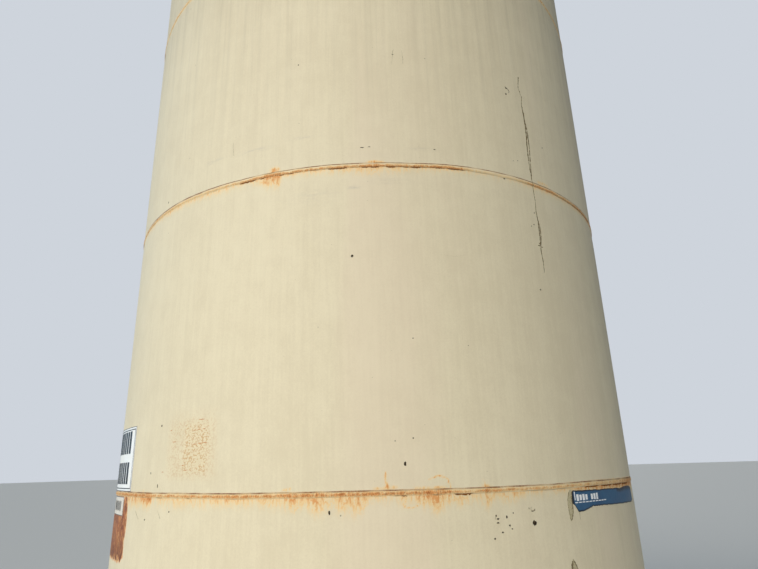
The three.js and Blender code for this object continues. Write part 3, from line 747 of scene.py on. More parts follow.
def collar(radius, leg, surface, sides=72):
    """A weld bead where a pipe along Z leaves a surface, whose height at (x, y) is given."""
    columns = []
    for j in range(sides):
        angle = 2 * math.pi * j / sides
        reach = leg * (1 + 0.12 * math.sin(5 * angle + 1) + 0.1 * math.sin(17 * angle))
        section = [(radius + out * reach, up * reach) for out, up in COLLAR_SECTION] + [(radius, COLLAR_ROOT)]
        spots = [(r * math.cos(angle), r * math.sin(angle), up) for r, up in section]
        columns.append([(x, y, surface(x, y) + up) for x, y, up in spots])
    return lofted(columns, wear=0.5)


def neck_weld(name, radius, leg, surface, place):
    bead = Shape(collar(radius, leg, surface), place)
    rust = 0.45 + 0.35 * np.sin(np.arange(bead.count) * 0.13)
    bead.lay(name, WELD, "weld_bead", sharp=60, rust=rust, shade=0)


def facing(azimuth):
    """A frame in which the nearest part of the shell faces -Y."""
    return Matrix.Rotation(math.radians(azimuth), 4, "Z")


def outward(azimuth, height):
    """A frame whose Z leaves the tank at an azimuth and a height, with its origin on the tank's axis."""
    return facing(azimuth) @ Matrix.Translation((0, 0, height)) @ Matrix.Rotation(math.pi / 2, 4, "X")


def upright(azimuth, distance, height):
    """A frame for a plate that stands on edge: X leaves the tank, and Y goes up."""
    stand = Matrix(((0, 0, -1, 0), (-1, 0, 0, -distance), (0, 1, 0, height), (0, 0, 0, 1)))
    return facing(azimuth) @ stand


# The shell's surface
def wrapped(azimuth):
    """An azimuth between -180 and 180."""
    return (np.asarray(azimuth, float) + 180) % 360 - 180


def polar(radius, azimuth, z):
    """Points at a radius, an azimuth and a height."""
    a = np.radians(azimuth)
    return np.stack(np.broadcast_arrays(radius * np.sin(a), -radius * np.cos(a), z), axis=-1)


def swell(value, middle, half):
    """A soft round swelling: 1 in its middle, and near 0 beyond twice its half width."""
    return np.exp(-(((value - middle) / half) ** 2))


def plateau(value, low, high, soft):
    """1 between low and high, falling to 0 over a soft edge."""
    return np.clip((value - low) / soft + 0.5, 0, 1) * np.clip((high - value) / soft + 0.5, 0, 1)


def spots(table, azimuth, z):
    """Soft spots: azimuth, height, half width in degrees, half height in mm and strength of each."""
    return sum(
        strength * swell(azimuth, place, half) * swell(z, height, tall / 1000)
        for place, height, half, tall, strength in table
    )


def wander(azimuth, seed, waves=(5, 11, 23, 41, 67)):
    """A smooth line along the shell that wanders between about -1 and 1 and closes on itself."""
    phases = np.random.default_rng(seed).uniform(0, 2 * math.pi, len(waves))
    total = sum(np.sin(np.radians(azimuth) * n + phase) for n, phase in zip(waves, phases))
    return total / len(waves) ** 0.5


# The rolled plates' waves, and how far and how near a seam they are pulled in
PLATE_WAVES = 0.0004
SEAM_PINCH = 0.0010
PINCH_REACH = 0.07


def shell_points(azimuth, z, lift=0.0):
    """Points that stand off the shell's outside by a lift. The plates are wavy, and pinched in at seams."""
    azimuth, z = np.asarray(azimuth, float), np.asarray(z, float)
    waves = PLATE_WAVES * wander(azimuth, 3, (4, 9, 14)) * np.sin(2.1 * z + 0.7)
    pinch = sum(swell(z, seam, PINCH_REACH) for seam in SEAMS)
    offset = waves - SEAM_PINCH * pinch * (1 + 0.4 * wander(azimuth, 8, (6, 17, 31)))
    return polar(SHELL_RADIUS + offset + lift, azimuth, z)


def degrees_along(length):
    """How many degrees a length covers along the shell."""
    return np.degrees(length / SHELL_RADIUS)


# How far the lower seams wander off level on the front: azimuth, and rise in mm
SEAM_BENDS = {
    1: [(-110, 0), (-60, 10), (-52, 9), (-44, 6), (-34, 5), (-24, 1), (0, 0), (14, -3), (30, -3), (38, 1),
        (60, 2), (110, 0)],
    2: [(-110, 0), (-60, 12), (-48, 9), (-40, 7), (-31, 1), (-24, -3), (0, -2), (8, 0), (14, 8), (24, 14),
        (34, 17),
        (44, 21), (56, 30), (76, 28), (120, 0)],
}
BEND_REACH = 0.12


def seam_shift(azimuth, z):
    """How far the shell and its seams lie off level at a place, fading out away from the seams."""
    return sum(
        np.interp(wrapped(azimuth), *zip(*table)) / 1000 * swell(z, SEAMS[number - 1], BEND_REACH)
        for number, table in SEAM_BENDS.items()
    )


def stations():
    """The azimuths of the shell's columns: close together on the front, further apart on the rest."""
    front = np.arange(-FRONT_HALF, FRONT_HALF, FRONT_STEP)
    return np.concatenate([front, np.arange(FRONT_HALF, 360 - FRONT_HALF, BACK_STEP)])


# Rust on the front of each seam: (azimuth, strength on the weld, strength below it, reach below it in mm)
SEAM_RUST = {
    1: [
        (-65, 0.85, 0.3, 26), (-55, 0.95, 0.4, 28), (-50, 1.0, 0.45, 28), (-47, 1.0, 0.45, 28),
        (-45.4, 0.95, 0.5, 20), (-43.6, 1.0, 0.9, 26), (-41.7, 1.0, 0.9, 26), (-41.2, 0.75, 0.15, 12),
        (-40, 0.6, 0.1, 12),
        (-38, 0.8, 0.24, 22), (-35, 0.8, 0.26, 24), (-31, 0.82, 0.24, 24), (-28, 0.8, 0.2, 24),
        (-26, 0.8, 0.22, 20), (-24, 0.9, 0.35, 18), (-21, 0.92, 0.3, 18), (-18, 0.82, 0.22, 18),
        (-16, 0.8, 0.22, 26), (-14, 0.9, 0.3, 28), (-12.9, 1.0, 0.4, 26), (-12.1, 1.05, 0.62, 40),
        (-11.2, 1.0, 0.35, 26), (-10, 1.0, 0.38, 30), (-8.7, 1.05, 0.55, 46), (-7.6, 1.0, 0.4, 44),
        (-6.4, 0.95, 0.25, 24), (-5, 1.0, 0.42, 42), (-3.4, 0.95, 0.45, 46), (-1.9, 0.95, 0.42, 44),
        (-0.9, 1.0, 0.15, 16), (0.8, 1.05, 0.2, 12), (2.8, 1.0, 0.15, 12), (3.9, 1.0, 0.35, 26),
        (5, 1.0, 0.25, 20), (6.6, 1.0, 0.45, 26), (7.8, 1.05, 0.55, 38), (9.2, 1.05, 0.6, 46),
        (10.4, 1.05, 0.5, 36), (11.3, 0.85, 0.25, 24), (12.8, 0.65, 0.22, 34), (14.4, 0.55, 0.12, 24),
        (16, 0.7, 0.2, 30), (17, 1.1, 0.42, 42), (17.9, 0.8, 0.2, 24), (20.6, 0.62, 0.22, 34),
        (21.8, 0.7, 0.32, 26), (23, 0.6, 0.15, 14), (26, 0.58, 0.12, 10), (30, 0.55, 0.12, 9),
        (33, 0.6, 0.3, 14), (36, 0.56, 0.5, 16), (42, 0.5, 0.7, 20), (50, 0.56, 0.85, 20),
        (60, 0.85, 1.0, 20),
    ],
    2: [
        (-65, 0.6, 0.2, 10), (-50, 0.56, 0.2, 12), (-44, 0.52, 0.32, 15), (-38, 0.46, 0.3, 15),
        (-33, 0.4, 0.26, 15), (-27.5, 0.46, 0.22, 15), (-25, 0.55, 0.15, 10), (-21.6, 0.7, 0.2, 12),
        (-19.7, 0.8, 0.3, 24), (-19.0, 0.88, 0.62, 34), (-17.4, 0.95, 0.68, 42), (-16.1, 0.9, 0.68, 50),
        (-15.6, 0.7, 0.2, 12),
        (-13, 0.72, 0.3, 10), (-11, 0.72, 0.24, 12), (-8, 0.6, 0.24, 14), (-5, 0.75, 0.2, 18),
        (-2, 0.65, 0.22, 24), (0.4, 0.85, 0.25, 34), (1.6, 0.9, 0.25, 34), (3, 0.75, 0.2, 22),
        (5, 0.7, 0.22, 22),
        (8, 0.7, 0.2, 18), (10.3, 0.72, 0.2, 12), (12, 0.78, 0.26, 12), (14.6, 0.85, 0.24, 10),
        (17.4, 0.7, 0.22, 10), (19.0, 0.35, 0.15, 8), (24, 0.25, 0.08, 5), (29, 0.28, 0.1, 5),
        (34.8, 0.75, 0.28, 10), (38, 0.85, 0.32, 12), (40.4, 0.75, 0.25, 9), (42, 0.55, 0.2, 8),
        (50, 0.75, 0.25, 10), (60, 0.9, 0.3, 10),
    ],
    3: [(-65, 0.5, 0.1, 6), (-20, 0.6, 0.3, 16), (0, 0.5, 0.1, 6), (30, 0.6, 0.2, 12), (60, 0.5, 0.1, 6)],
}
# Painted shade in the gaps under the weld of each seam, partly dark rust: first and last azimuth, strength
UNDERCUT_SHADE_AND_RUST = {
    1: [
        (11.8, 14.6, 1.0), (-39.9, -38.2, 0.6), (-31.7, -31.0, 0.6), (2.9, 3.4, 0.6), (8.6, 9.4, 0.5),
        (23.6, 34.0, 0.28), (36, 46, 0.3), (46, 60, 0.4),
    ],
    2: [
        (-24.2, -20.8, 0.8), (-19.8, -15.4, 0.15), (-15.2, -12.0, 0.4), (-10.8, -8.4, 0.6),
        (-8.0, -6.2, 0.4),
        (-5.6, -3.7, 1.0), (-3.0, -1.4, 0.5), (-0.9, 2.1, 0.9), (2.6, 3.2, 0.5), (3.3, 7.0, 0.8),
        (7.5, 10.6, 1.0), (11.0, 14.3, 0.85), (14.4, 17.8, 1.0), (18.4, 26.5, 0.2), (26.5, 29.8, 0.15),
        (30.0, 33.0, 0.4), (33.0, 40.0, 0.45), (40.6, 48, 0.6), (48, 60, 0.8),
    ],
    3: [],
}
# Single patches of rust: azimuth, height, half width in degrees, half height in mm, strength
RUST_SPOTS = [
    (-13.6, 1.556, 0.5, 5, 0.45), (-12.9, 1.560, 0.35, 6, 0.45), (0.4, 1.553, 0.7, 6, 0.45),
    (1.7, 1.555, 0.5, 8, 0.5),
    (2.9, 1.556, 0.5, 7, 0.55), (6.0, 1.553, 0.3, 7, 0.4), (7.4, 1.552, 0.9, 6, 0.4),
    (9.5, 1.552, 1.0, 6, 0.5),
    (17.0, 1.550, 0.75, 8, 0.7), (-44.6, 1.556, 0.5, 7, 0.3),
    (-17.6, 3.076, 0.5, 14, 0.6), (-16.9, 3.080, 0.4, 16, 0.7), (-16.3, 3.076, 0.3, 14, 0.6),
    (0.3, 3.070, 0.5, 8, 0.5), (1.1, 3.070, 0.5, 9, 0.6), (1.9, 3.070, 0.5, 9, 0.6),
    (2.7, 3.069, 0.4, 7, 0.45),
    (37.0, 3.082, 1.8, 11, 0.5), (38.6, 3.052, 1.4, 8, 0.4), (49.5, 3.052, 0.9, 9, 0.5),
]
# Thin lines of rust: strength, half width in mm, and their points as azimuth and height
RUST_STROKES = [
    (0.95, 3.5, [(1.9, 1.545), (1.6, 1.575), (1.5, 1.604)]),
    (0.72, 3.5, [(8.0, 1.583), (8.6, 1.590), (9.4, 1.596), (10.2, 1.593), (10.9, 1.583), (11.15, 1.565),
    (11.2, 1.545)]),
    (0.55, 3.5, [(3.9, 1.512), (4.0, 1.488), (4.4, 1.476), (5.2, 1.474), (6.0, 1.482), (6.9, 1.492),
    (7.5, 1.500)]),
    (0.7, 3, [(16.7, 1.548), (16.6, 1.580)]),
    (0.35, 3, [(5.9, 1.548), (5.8, 1.566)]),
    (0.45, 3, [(12.9, 1.512), (13.0, 1.482)]), (0.4, 3, [(13.8, 1.512), (13.9, 1.490)]),
]
# How rusty each seam's weld is against the table, how lively its rust is behind, and the faint stain below it
WELD_SHARE = {1: 0.92, 2: 1.0, 3: 1.0}
BACK_SHARE = {1: 1.0, 2: 0.75, 3: 0.6}
SEAM_HAZE = {1: 0.15, 2: 0.14, 3: 0.08}
HAZE_REACH = 0.055
# Where the tables of the front end, and how many degrees they take to fade out
TABLE_END = 60
TABLE_FADE = 8
# Half the height of the bead that rust runs from, and how far it creeps above
BEAD_HALF = 0.010
CREEP = 0.006


def seam_run(number, azimuth):
    """Strength of rust on a seam's weld, strength below it and reach below it, along the azimuth."""
    azimuth = wrapped(azimuth)
    table = np.array(SEAM_RUST[number], float).T
    front = [np.interp(azimuth, table[0], row) for row in table[1:]]
    rough = [wander(azimuth, 20 + 3 * number + k, (7, 19, 43, 71, 97)) for k in range(3)]
    lively = BACK_SHARE[number]
    rest = [0.6 + 0.3 * rough[0] * lively, lively * (0.25 + 0.45 * rough[1]), lively * (24 + 20 * rough[2])]
    share = np.clip((np.abs(azimuth) - TABLE_END) / TABLE_FADE, 0, 1)
    weld, below, reach = [f * (1 - share) + r * share for f, r in zip(front, rest)]
    return np.clip(weld, 0, 1.1) * WELD_SHARE[number], np.clip(below, 0, 1.1), np.clip(reach, 4, 70) / 1000


def seam_rust(number, azimuth, z):
    """Rust that runs off a seam, and the little that creeps above it."""
    _, below, reach = seam_run(number, azimuth)
    edge = BEADS[number - 1]
    depth, rise = (np.clip(distance - BEAD_HALF, 0, None) for distance in (edge - z, z - edge))
    under = below * np.exp(-((depth / reach) ** 1.6)) + 0.2 * (0.4 + below) * swell(depth, 0, 1.9 * reach)
    haze = SEAM_HAZE[number] * swell(depth, 0, HAZE_REACH) * (1 - np.clip(under, 0, 1))
    above = (0.42 * below + 0.3 * SEAM_HAZE[number]) * swell(rise, 0, CREEP)
    return np.where(z < edge, under + haze, above)


def near_stroke(azimuth, z, stroke):
    """How close each place is to a thin line of rust, from 0 to the line's strength."""
    x, best = np.radians(azimuth) * SHELL_RADIUS, np.full(np.shape(z), np.inf)
    strength, half, path = stroke
    line = [(math.radians(a) * SHELL_RADIUS, h) for a, h in path]
    for (x0, z0), (x1, z1) in zip(line, line[1:]):
        dx, dz = x1 - x0, z1 - z0
        t = np.clip(((x - x0) * dx + (z - z0) * dz) / (dx * dx + dz * dz), 0, 1)
        best = np.minimum(best, np.hypot(x - x0 - t * dx, z - z0 - t * dz))
    return strength * swell(best, 0, half / 1000)


def shell_rust(azimuth, z):
    """Rust on the shell itself: run-off at each seam, single patches, thin lines, and the foot."""
    total = sum(seam_rust(number, azimuth, z) for number in SEAM_RUST) + spots(RUST_SPOTS, azimuth, z)
    for stroke in RUST_STROKES:
        total = np.maximum(total, near_stroke(azimuth, z, stroke))
    foot = 0.9 * np.exp(-((z - SHELL_BASE) / 0.035)) * (0.55 + 0.45 * wander(azimuth, 51, (9, 31, 57, 83)))
    return np.clip(total + foot, 0, 1.2)


def shell_flecks(azimuth, z):
    """Where the paint has crazed and rust shows through in flecks."""
    dense = plateau(azimuth, -33.6, -27.4, 1.8) * plateau(z, 1.625, 1.862, 0.05)
    thin = 0.5 * plateau(azimuth, -37.2, -26.4, 2.2) * plateau(z, 1.610, 1.876, 0.05)
    return np.maximum(dense, thin)


# The right edge of the strip where the paint is gone: heights and azimuths
BARE_HEIGHTS = [1.22, 1.25, 1.30, 1.38, 1.44, 1.51]
BARE_EDGE = [-52.6, -51.4, -51.5, -51.1, -51.3, -51.7]


def shell_bare(azimuth, z):
    """Where the paint is gone and the plate has rusted brown."""
    right = np.interp(z, BARE_HEIGHTS, BARE_EDGE)
    return plateau(azimuth, -67.5, right, 1.3) * plateau(z, 1.230, 1.520, 0.04)


# Faint grey smudges: azimuth, height, half width in degrees, half height in mm, strength
SMUDGES = [
    (-31, 3.225, 2.2, 9, 0.3), (-21, 3.215, 3.0, 8, 0.28), (-12, 3.235, 2.6, 7, 0.25),
    (-2.5, 2.932, 1.0, 9, 0.4), (9.5, 3.148, 2.4, 7, 0.3), (4.0, 2.96, 3.0, 14, 0.16),
    (-9, 2.9, 4, 25, 0.12),
]


def undercut_shade_and_rust(number, azimuth):
    """Strength of the painted shade, partly dark rust, in the gap under a seam's weld."""
    azimuth = wrapped(azimuth)
    gaps = [strength * plateau(azimuth, low, high, 0.6) for low, high, strength in UNDERCUT_SHADE_AND_RUST[number]]
    back = np.clip(1.2 * wander(azimuth, 70 + number, (13, 37, 59)) - 0.4, 0, 0.9)
    return np.max([*gaps, back * (np.abs(azimuth) > TABLE_END + 2)], axis=0)


# Rows of each course: how far its fine part reaches down from its top and up from its foot, and their steps
FINE_ROWS = {1: (0.34, 0.05, 0.006), 2: (0.17, 0.075, 0.006), 3: (0.04, 0.20, 0.009), 4: (0.03, 0.04, 0.009)}
COARSE_STEP = 0.055
# The crazed patch needs rows of middling height
CRAZED_COURSE = 2
CRAZED_REACH = 0.36
CRAZED_STEP = 0.02


def course_rows(number):
    """Heights of the rows of a course, close together where its seams have rusted."""
    low = SHELL_BASE + (number - 1) * COURSE_HEIGHT
    below, above, step = FINE_ROWS[number]
    lower = np.arange(low, low + above, step)
    if number == CRAZED_COURSE:
        crazed = np.arange(lower[-1] + CRAZED_STEP, low + CRAZED_REACH, CRAZED_STEP)
        lower = np.concatenate([lower, crazed])
    upper = low + COURSE_HEIGHT - np.arange(0, below, step)[::-1]
    count = int((upper[0] - lower[-1]) / COARSE_STEP)
    return np.concatenate([lower, np.linspace(lower[-1], upper[0], count + 1)[1:-1], upper])


NECKS = {
    "manway": {
        "azimuth": SHELL_MANWAY, "height": 0.768, "outer": 0.311, "bore": 0.3048, "from": -0.070, "to": 0.190,
    },
    "outlet": {
        "azimuth": OUTLET, "height": 0.250, "outer": 0.0572, "bore": 0.0512, "from": -0.040, "to": 0.160,
    },
    "drain": {
        "azimuth": DRAIN, "height": 0.110, "outer": 0.036, "bore": 0.019, "from": -0.025, "to": 0.040,
    },
}
CUT_REACH = 0.09


def shell_place(neck):
    return outward(neck["azimuth"], neck["height"])


def pierced(mesh, necks, low, high, sides, place):
    """What is left of a mesh when a round hole is cut for each neck, between two heights on its axis."""
    body = placed("body", mesh)
    tools = []
    for neck in necks:
        solid = turned(disc(neck["outer"] + SEAT, low, high), sides, soft=0.0)
        tools.append(placed("cutter", Shape(solid, place(neck)).mesh("cutter")))
        hole = body.modifiers.new("hole", "BOOLEAN")
        hole.operation, hole.solver, hole.object = "DIFFERENCE", "EXACT", tools[-1]
    bpy.context.view_layer.update()
    left = bpy.data.meshes.new_from_object(body.evaluated_get(bpy.context.evaluated_depsgraph_get()))
    for spent in (body, *tools):
        bpy.data.objects.remove(spent)
    return left


def point_places(mesh):
    """Radius, azimuth and height of each point of a mesh."""
    flat = np.zeros(len(mesh.vertices) * 3)
    mesh.vertices.foreach_get("co", flat)
    x, y, z = flat.reshape(-1, 3).T
    return np.hypot(x, y), np.degrees(np.arctan2(x, -y)), z


def make_course(number):
    columns, heights = stations(), course_rows(number)
    a, z = np.meshgrid(columns, heights, indexing="ij")
    outer = shell_points(a, z + seam_shift(a, z))
    inner = shell_points(columns[:, None], heights[[-1, 0]], -SHELL_PLATE)
    name = "shell_" + str(number)
    mesh = Shape(lofted(np.concatenate([outer, inner], axis=1))).mesh(name)
    if number == 1:
        span = (SHELL_RADIUS - CUT_REACH, SHELL_RADIUS + CUT_REACH)
        mesh = pierced(mesh, NECKS.values(), *span, 64, shell_place)
    radius, azimuth, z = point_places(mesh)
    z = z - seam_shift(azimuth, z)
    outside = radius > SHELL_RADIUS - 0.5 * SHELL_PLATE
    store(
        mesh, rust=outside * shell_rust(azimuth, z), flecks=outside * shell_flecks(azimuth, z),
        bare=outside * shell_bare(azimuth, z), smudge=outside * spots(SMUDGES, azimuth, z),
    )
    dress(name, mesh, SHELL, ["shell_course_" + str(number)], 30, False)


# The section of a seam's bead from its lower edge to its upper edge: height in mm, and how proud it is
BEAD_SECTION = [
    (-13.0, -0.2), (-12.2, 0.5), (-11.0, 1.4), (-9.2, 2.4), (-6.6, 3.4), (-3.0, 4.0),
    (1, 3.8), (5, 3.0), (8.0, 2.1), (10.2, 1.2), (11.6, 0.7), (12.5, 0.3), (13.0, -0.2),
]
# How deep the beads go into the plate, and half their height there
BEAD_DEPTH = -0.0015
BEAD_BACK = 0.0128


def bead_rise(azimuth, z):
    """How proud the weld bead at any seam is at a place."""
    up, proud = np.array(BEAD_SECTION).T / 1000
    level = z - seam_shift(azimuth, z)
    return sum(np.interp(level - middle, up, proud, left=0, right=0) for middle in BEADS)


# Where rust gathers on each seam's bead: its middle in mm, and its share elsewhere on the bead
BEAD_RUST = {1: (-2.0, 0.24), 2: (-6.0, 0.2), 3: (-5.0, 0.25)}
# The dark lines on a bead are painted shade in the crease along its upper edge and in the gap under it,
# partly brown rust
# Strength of the dark line along each bead's upper edge, and how many mm wider it is at an azimuth
BEAD_LINE = {1: 0.74, 2: 1.0, 3: 0.8}
WIDER_LINE = {
    1: [(-60, 1), (34, 1), (60, 2)],
    2: [(-60, 7), (-34, 4.5), (-26, 1.5), (-18, 1), (18, 1.2), (28, 2), (44, 2.5), (60, 5)],
    3: [(-60, 0), (60, 0)],
}
# How far up the bead the painted shade of the gap under it reaches, in mm from its middle
GAP_REACH = {1: [-13.0, -10.0, -8.4, -6.6], 2: [-13.0, -11.0, -9.4, -7.4], 3: [-13.0, -9.2, -7.5, -5.5]}
GAP_SHADES = [1.0, 0.9, 0.5, 0]


def bead_tones(number, columns):
    """Rust on a seam's bead, and the dark lines along its edges, which are painted shade and partly brown
    rust, at each point of each column.
    """
    t = np.array(BEAD_SECTION)[:, 0]
    weld, below, _ = seam_run(number, columns)
    width = 6.5 + 8.0 * np.clip(below - 0.3, 0, 1)
    middle, floor = BEAD_RUST[number]
    profile = floor + (1 - floor) * swell(t, middle, width[:, None])
    ripple = 0.2 * np.outer(wander(columns, 80 + number, (83, 131, 211)), np.sin(1.3 * t))
    wider = np.interp(wrapped(columns), *zip(*WIDER_LINE[number]))
    upper = np.clip((t + wider[:, None] - 6.5) / 3.8, 0, 1)
    pencil = BEAD_LINE[number] * (1 + 0.35 * wander(columns, 60 + number, (17, 53, 89)))
    lower = np.outer(undercut_shade_and_rust(number, columns), np.interp(t, GAP_REACH[number], GAP_SHADES))
    tones = ((weld[:, None] * (profile + ripple), 1.1), (pencil[:, None] * upper + lower, 1))
    return [np.pad(np.clip(tone, 0, most), ((0, 0), (0, 2))).ravel() for tone, most in tones]


def make_girth_bead(number):
    columns, seam = stations(), BEADS[number - 1]
    height, rise = np.array(BEAD_SECTION).T / 1000
    edge = 0.0009 * wander(columns, 30 + number, (37, 71, 113, 173))
    proud = 1 + 0.18 * wander(columns, 40 + number, (29, 61, 127))
    z = seam + (height + np.outer(edge, np.linspace(1, 0.3, len(height))))
    lift = np.clip(np.outer(proud, rise), -0.0005, 0.0043)
    columns = columns[:, None]
    outer = shell_points(columns, z + seam_shift(columns, z), lift)
    back = shell_points(columns, seam + np.array([BEAD_BACK, -BEAD_BACK]), BEAD_DEPTH)
    rust, shade = bead_tones(number, columns[:, 0])
    Shape(lofted(np.concatenate([outer, back], axis=1))).lay(
        "girth_bead_" + str(number), WELD, "weld_bead", ["girth_weld_" + str(number)], 60,
        rust=rust, shade=shade,
    )


# The section of an upright bead: shares of its half width, and how proud it is in mm
VERTICAL_SECTION = [(-1, -0.2), (-0.85, 1.6), (-0.55, 3.1), (0, 3.8), (0.55, 3.1), (0.85, 1.6), (1, -0.2)]
VERTICAL_HALF = 0.009
VERTICAL_BACK = 0.008
END_CLEARANCE = 0.0005


def make_vertical_bead(number):
    low = SHELL_BASE + FOOT_WELD_LEG if number == 1 else BEADS[number - 2] + GIRTH_WELD_HALF
    high = SHELL_TOP - TOP_ANGLE_LEG if number == COURSE_COUNT else BEADS[number - 1] - GIRTH_WELD_HALF
    z = np.arange(low + END_CLEARANCE, high - END_CLEARANCE, 0.01)[:, None]
    across, proud = np.array(VERTICAL_SECTION).T
    uneven = 1 + 0.10 * np.sin(47 * z) * np.sin(13 * z + number)
    lift = np.clip(proud / 1000 * (1 + 0.12 * np.sin(31 * z + 2)), -0.0005, 0.0041)
    azimuth = VERTICAL_WELDS[number - 1]
    outer = shell_points(azimuth + degrees_along(across * VERTICAL_HALF * uneven), z, lift)
    back = shell_points(azimuth + degrees_along(np.array([VERTICAL_BACK, -VERTICAL_BACK])), z, BEAD_DEPTH)
    points = np.concatenate([outer, back], axis=1)
    rust = 0.55 + 0.35 * np.sin(5.3 * z[:, 0] + number) * np.sin(17 * z[:, 0])
    Shape(lofted(points, closed=False)).lay(
        "vertical_bead_" + str(number), WELD, "weld_bead", ["vertical_weld_" + str(number)], 60,
        rust=np.repeat(rust, points.shape[1]), shade=0,
    )


# The section of the fillet weld at the foot: how far out and up it goes, as shares of its leg
FOOT_SECTION = [(0.0, 1.0), (0.2, 0.72), (0.42, 0.45), (0.72, 0.2), (1.0, 0.0), (0.0, 0.0)]


def make_base():
    """Bottom plate and the fillet weld that joins the shell to it."""
    plate = turned(disc(SHELL_RADIUS + BOTTOM_LEDGE, 0, BOTTOM_PLATE), 360, soft=0.0012)
    Shape(plate).make("base_plate", FITTING, "cream_paint", ["bottom_plate"])
    columns = np.arange(0, 360, 0.5)
    leg = FOOT_WELD_LEG * (1 + 0.1 * wander(columns, 90, (31, 67, 131)))
    out, up = np.array(FOOT_SECTION).T
    points = polar(
        SHELL_RADIUS + SEAT + np.outer(leg, out), columns[:, None], SHELL_BASE + SEAT + np.outer(leg, up)
    )
    rust = np.repeat(np.clip(0.75 + 0.3 * wander(columns, 91), 0, 1.1), len(out))
    Shape(lofted(points)).lay("base_bead", WELD, "weld_bead", ["base_fillet_weld"], 60, rust=rust, shade=0)


# Notices
NOTICE_PLATE = 0.0012
# The lifts between which print, and the painted shade along a notice's edge, lie on a notice
PRINT = (NOTICE_PLATE + 0.0001, NOTICE_PLATE + 0.0004)
INK_AND_SHADE = (NOTICE_PLATE + 0.0001, NOTICE_PLATE + 0.0006)
SIGN = {"azimuth": -58.6, "height": 1.716, "width": 0.460, "tall": 0.322}
LABEL = {"azimuth": -59.2, "height": 1.483, "width": 0.290, "tall": 0.092}
NOTICE_INSET = 0.003
NOTICE_ROWS = [0, 0.01, 0.25, 0.5, 0.7, 0.78, 0.82, 0.86, 0.9, 0.94, 0.99, 1]
# A notice's grey line of painted shade at its edge, and the sign's printed frame: how much smaller than the
# plate, how thick
NOTICE_EDGE = ((0.001, 0.001), 0.0028)
SIGN_FRAME = ((0.026, 0.024), 0.0045)
# Steps between the bars on the sign and on the label
SIGN_STEP = 0.048
LABEL_STEP = 0.0175
# Rows of bars on the sign: height from its middle, and how tall
SIGN_ROWS = [(0.082, 0.114), (-0.072, 0.108)]


def shell_plate(azimuths, low, high, bottom, top, rows):
    """A plate bent round the shell, from a bottom to a top line given at each azimuth, between two lifts."""
    azimuths, bottom, top, rows = (np.asarray(v, float) for v in (azimuths, bottom, top, rows))
    z = bottom[:, None] + np.outer(top - bottom, rows)
    a = azimuths[:, None] + 0 * z
    n, m = z.shape
    rise = bead_rise(a, z) if low > -0.001 else 0
    points = np.concatenate([shell_points(a, z, lift + rise).reshape(-1, 3) for lift in (high, low)])
    faces = []
    for i in range(n - 1):
        for j in range(m - 1):
            quad = (i * m + j, (i + 1) * m + j, (i + 1) * m + j + 1, i * m + j + 1)
            faces += [quad, tuple(q + n * m for q in reversed(quad))]
    rim = [i * m for i in range(n)] + [(n - 1) * m + j for j in range(1, m)]
    rim += [i * m + m - 1 for i in range(n - 2, -1, -1)] + [j for j in range(m - 2, 0, -1)]
    faces += [(p, q, q + n * m, p + n * m) for p, q in zip(rim, rim[1:] + rim[:1])]
    edge = np.zeros((2, n, m))
    edge[:, [0, -1], :] = edge[:, :, [0, -1]] = 1
    return points, faces, edge.ravel()


def level_plate(azimuths, low, high, height, tall, rows=(0, 1)):
    """A plate bent round the shell, with level edges."""
    line = np.full(len(azimuths), height)
    return shell_plate(azimuths, low, high, line - tall / 2, line + tall / 2, rows)


def bar(azimuth, height, width, tall, low, high):
    """A plain printed bar on a notice, centred at an azimuth and a height."""
    half = degrees_along(width / 2)
    azimuths = np.linspace(azimuth - half, azimuth + half, max(2, int(width / 0.02) + 2))
    return level_plate(azimuths, low, high, height, tall)


def add_border(shape, place, inset, thick):
    """A frame as four bars, used for the sign's printed frame and for the painted shade along a notice's
    edge.
    """
    azimuth, height = place["azimuth"], place["height"]
    width, tall = place["width"] - inset[0], place["tall"] - inset[1]
    shift = degrees_along((width - thick) / 2)
    for hand in (-1, 1):
        shape.add(bar(azimuth, height + hand * (tall - thick) / 2, width, thick, *INK_AND_SHADE))
        shape.add(bar(azimuth + hand * shift, height, thick, tall - 2 * thick, *INK_AND_SHADE))


def make_notice(name, place, material, node):
    half, inset = degrees_along(place["width"] / 2), degrees_along(NOTICE_INSET)
    inner = np.linspace(-half + inset, half - inset, 28)
    azimuths = place["azimuth"] + np.concatenate([[-half], inner, [half]])
    part = level_plate(azimuths, 0.0, NOTICE_PLATE, place["height"], place["tall"], NOTICE_ROWS)
    Shape(part).lay(name, material, "notice_white", [node], edge=part[2])


def make_sign(white, black, grey):
    make_notice("sign_plate", SIGN, white, "sign_placard")
    edge, markings = Shape(), Shape()
    # The grey line along the sign's edge is painted shade
    add_border(edge, SIGN, *NOTICE_EDGE)
    edge.lay("sign_edge", grey)
    add_border(markings, SIGN, *SIGN_FRAME)
    for row, tall in SIGN_ROWS:
        for n in range(-3, 4):
            azimuth = SIGN["azimuth"] + n * degrees_along(SIGN_STEP)
            markings.add(bar(azimuth, SIGN["height"] + row, 0.034, tall, *INK_AND_SHADE))
    markings.lay("sign_print", black)


def make_label(white, grey):
    make_notice("label_plate", LABEL, white, "small_label")
    markings = Shape()
    # The grey line along the label's edge is painted shade; the bars are print
    add_border(markings, LABEL, *NOTICE_EDGE)
    for n in range(11):
        azimuth = LABEL["azimuth"] + (n - 5) * degrees_along(LABEL_STEP)
        markings.add(bar(azimuth, LABEL["height"], 0.0075, 0.052 - 0.006 * (n % 3), *INK_AND_SHADE))
    markings.lay("label_print_and_shade", grey)


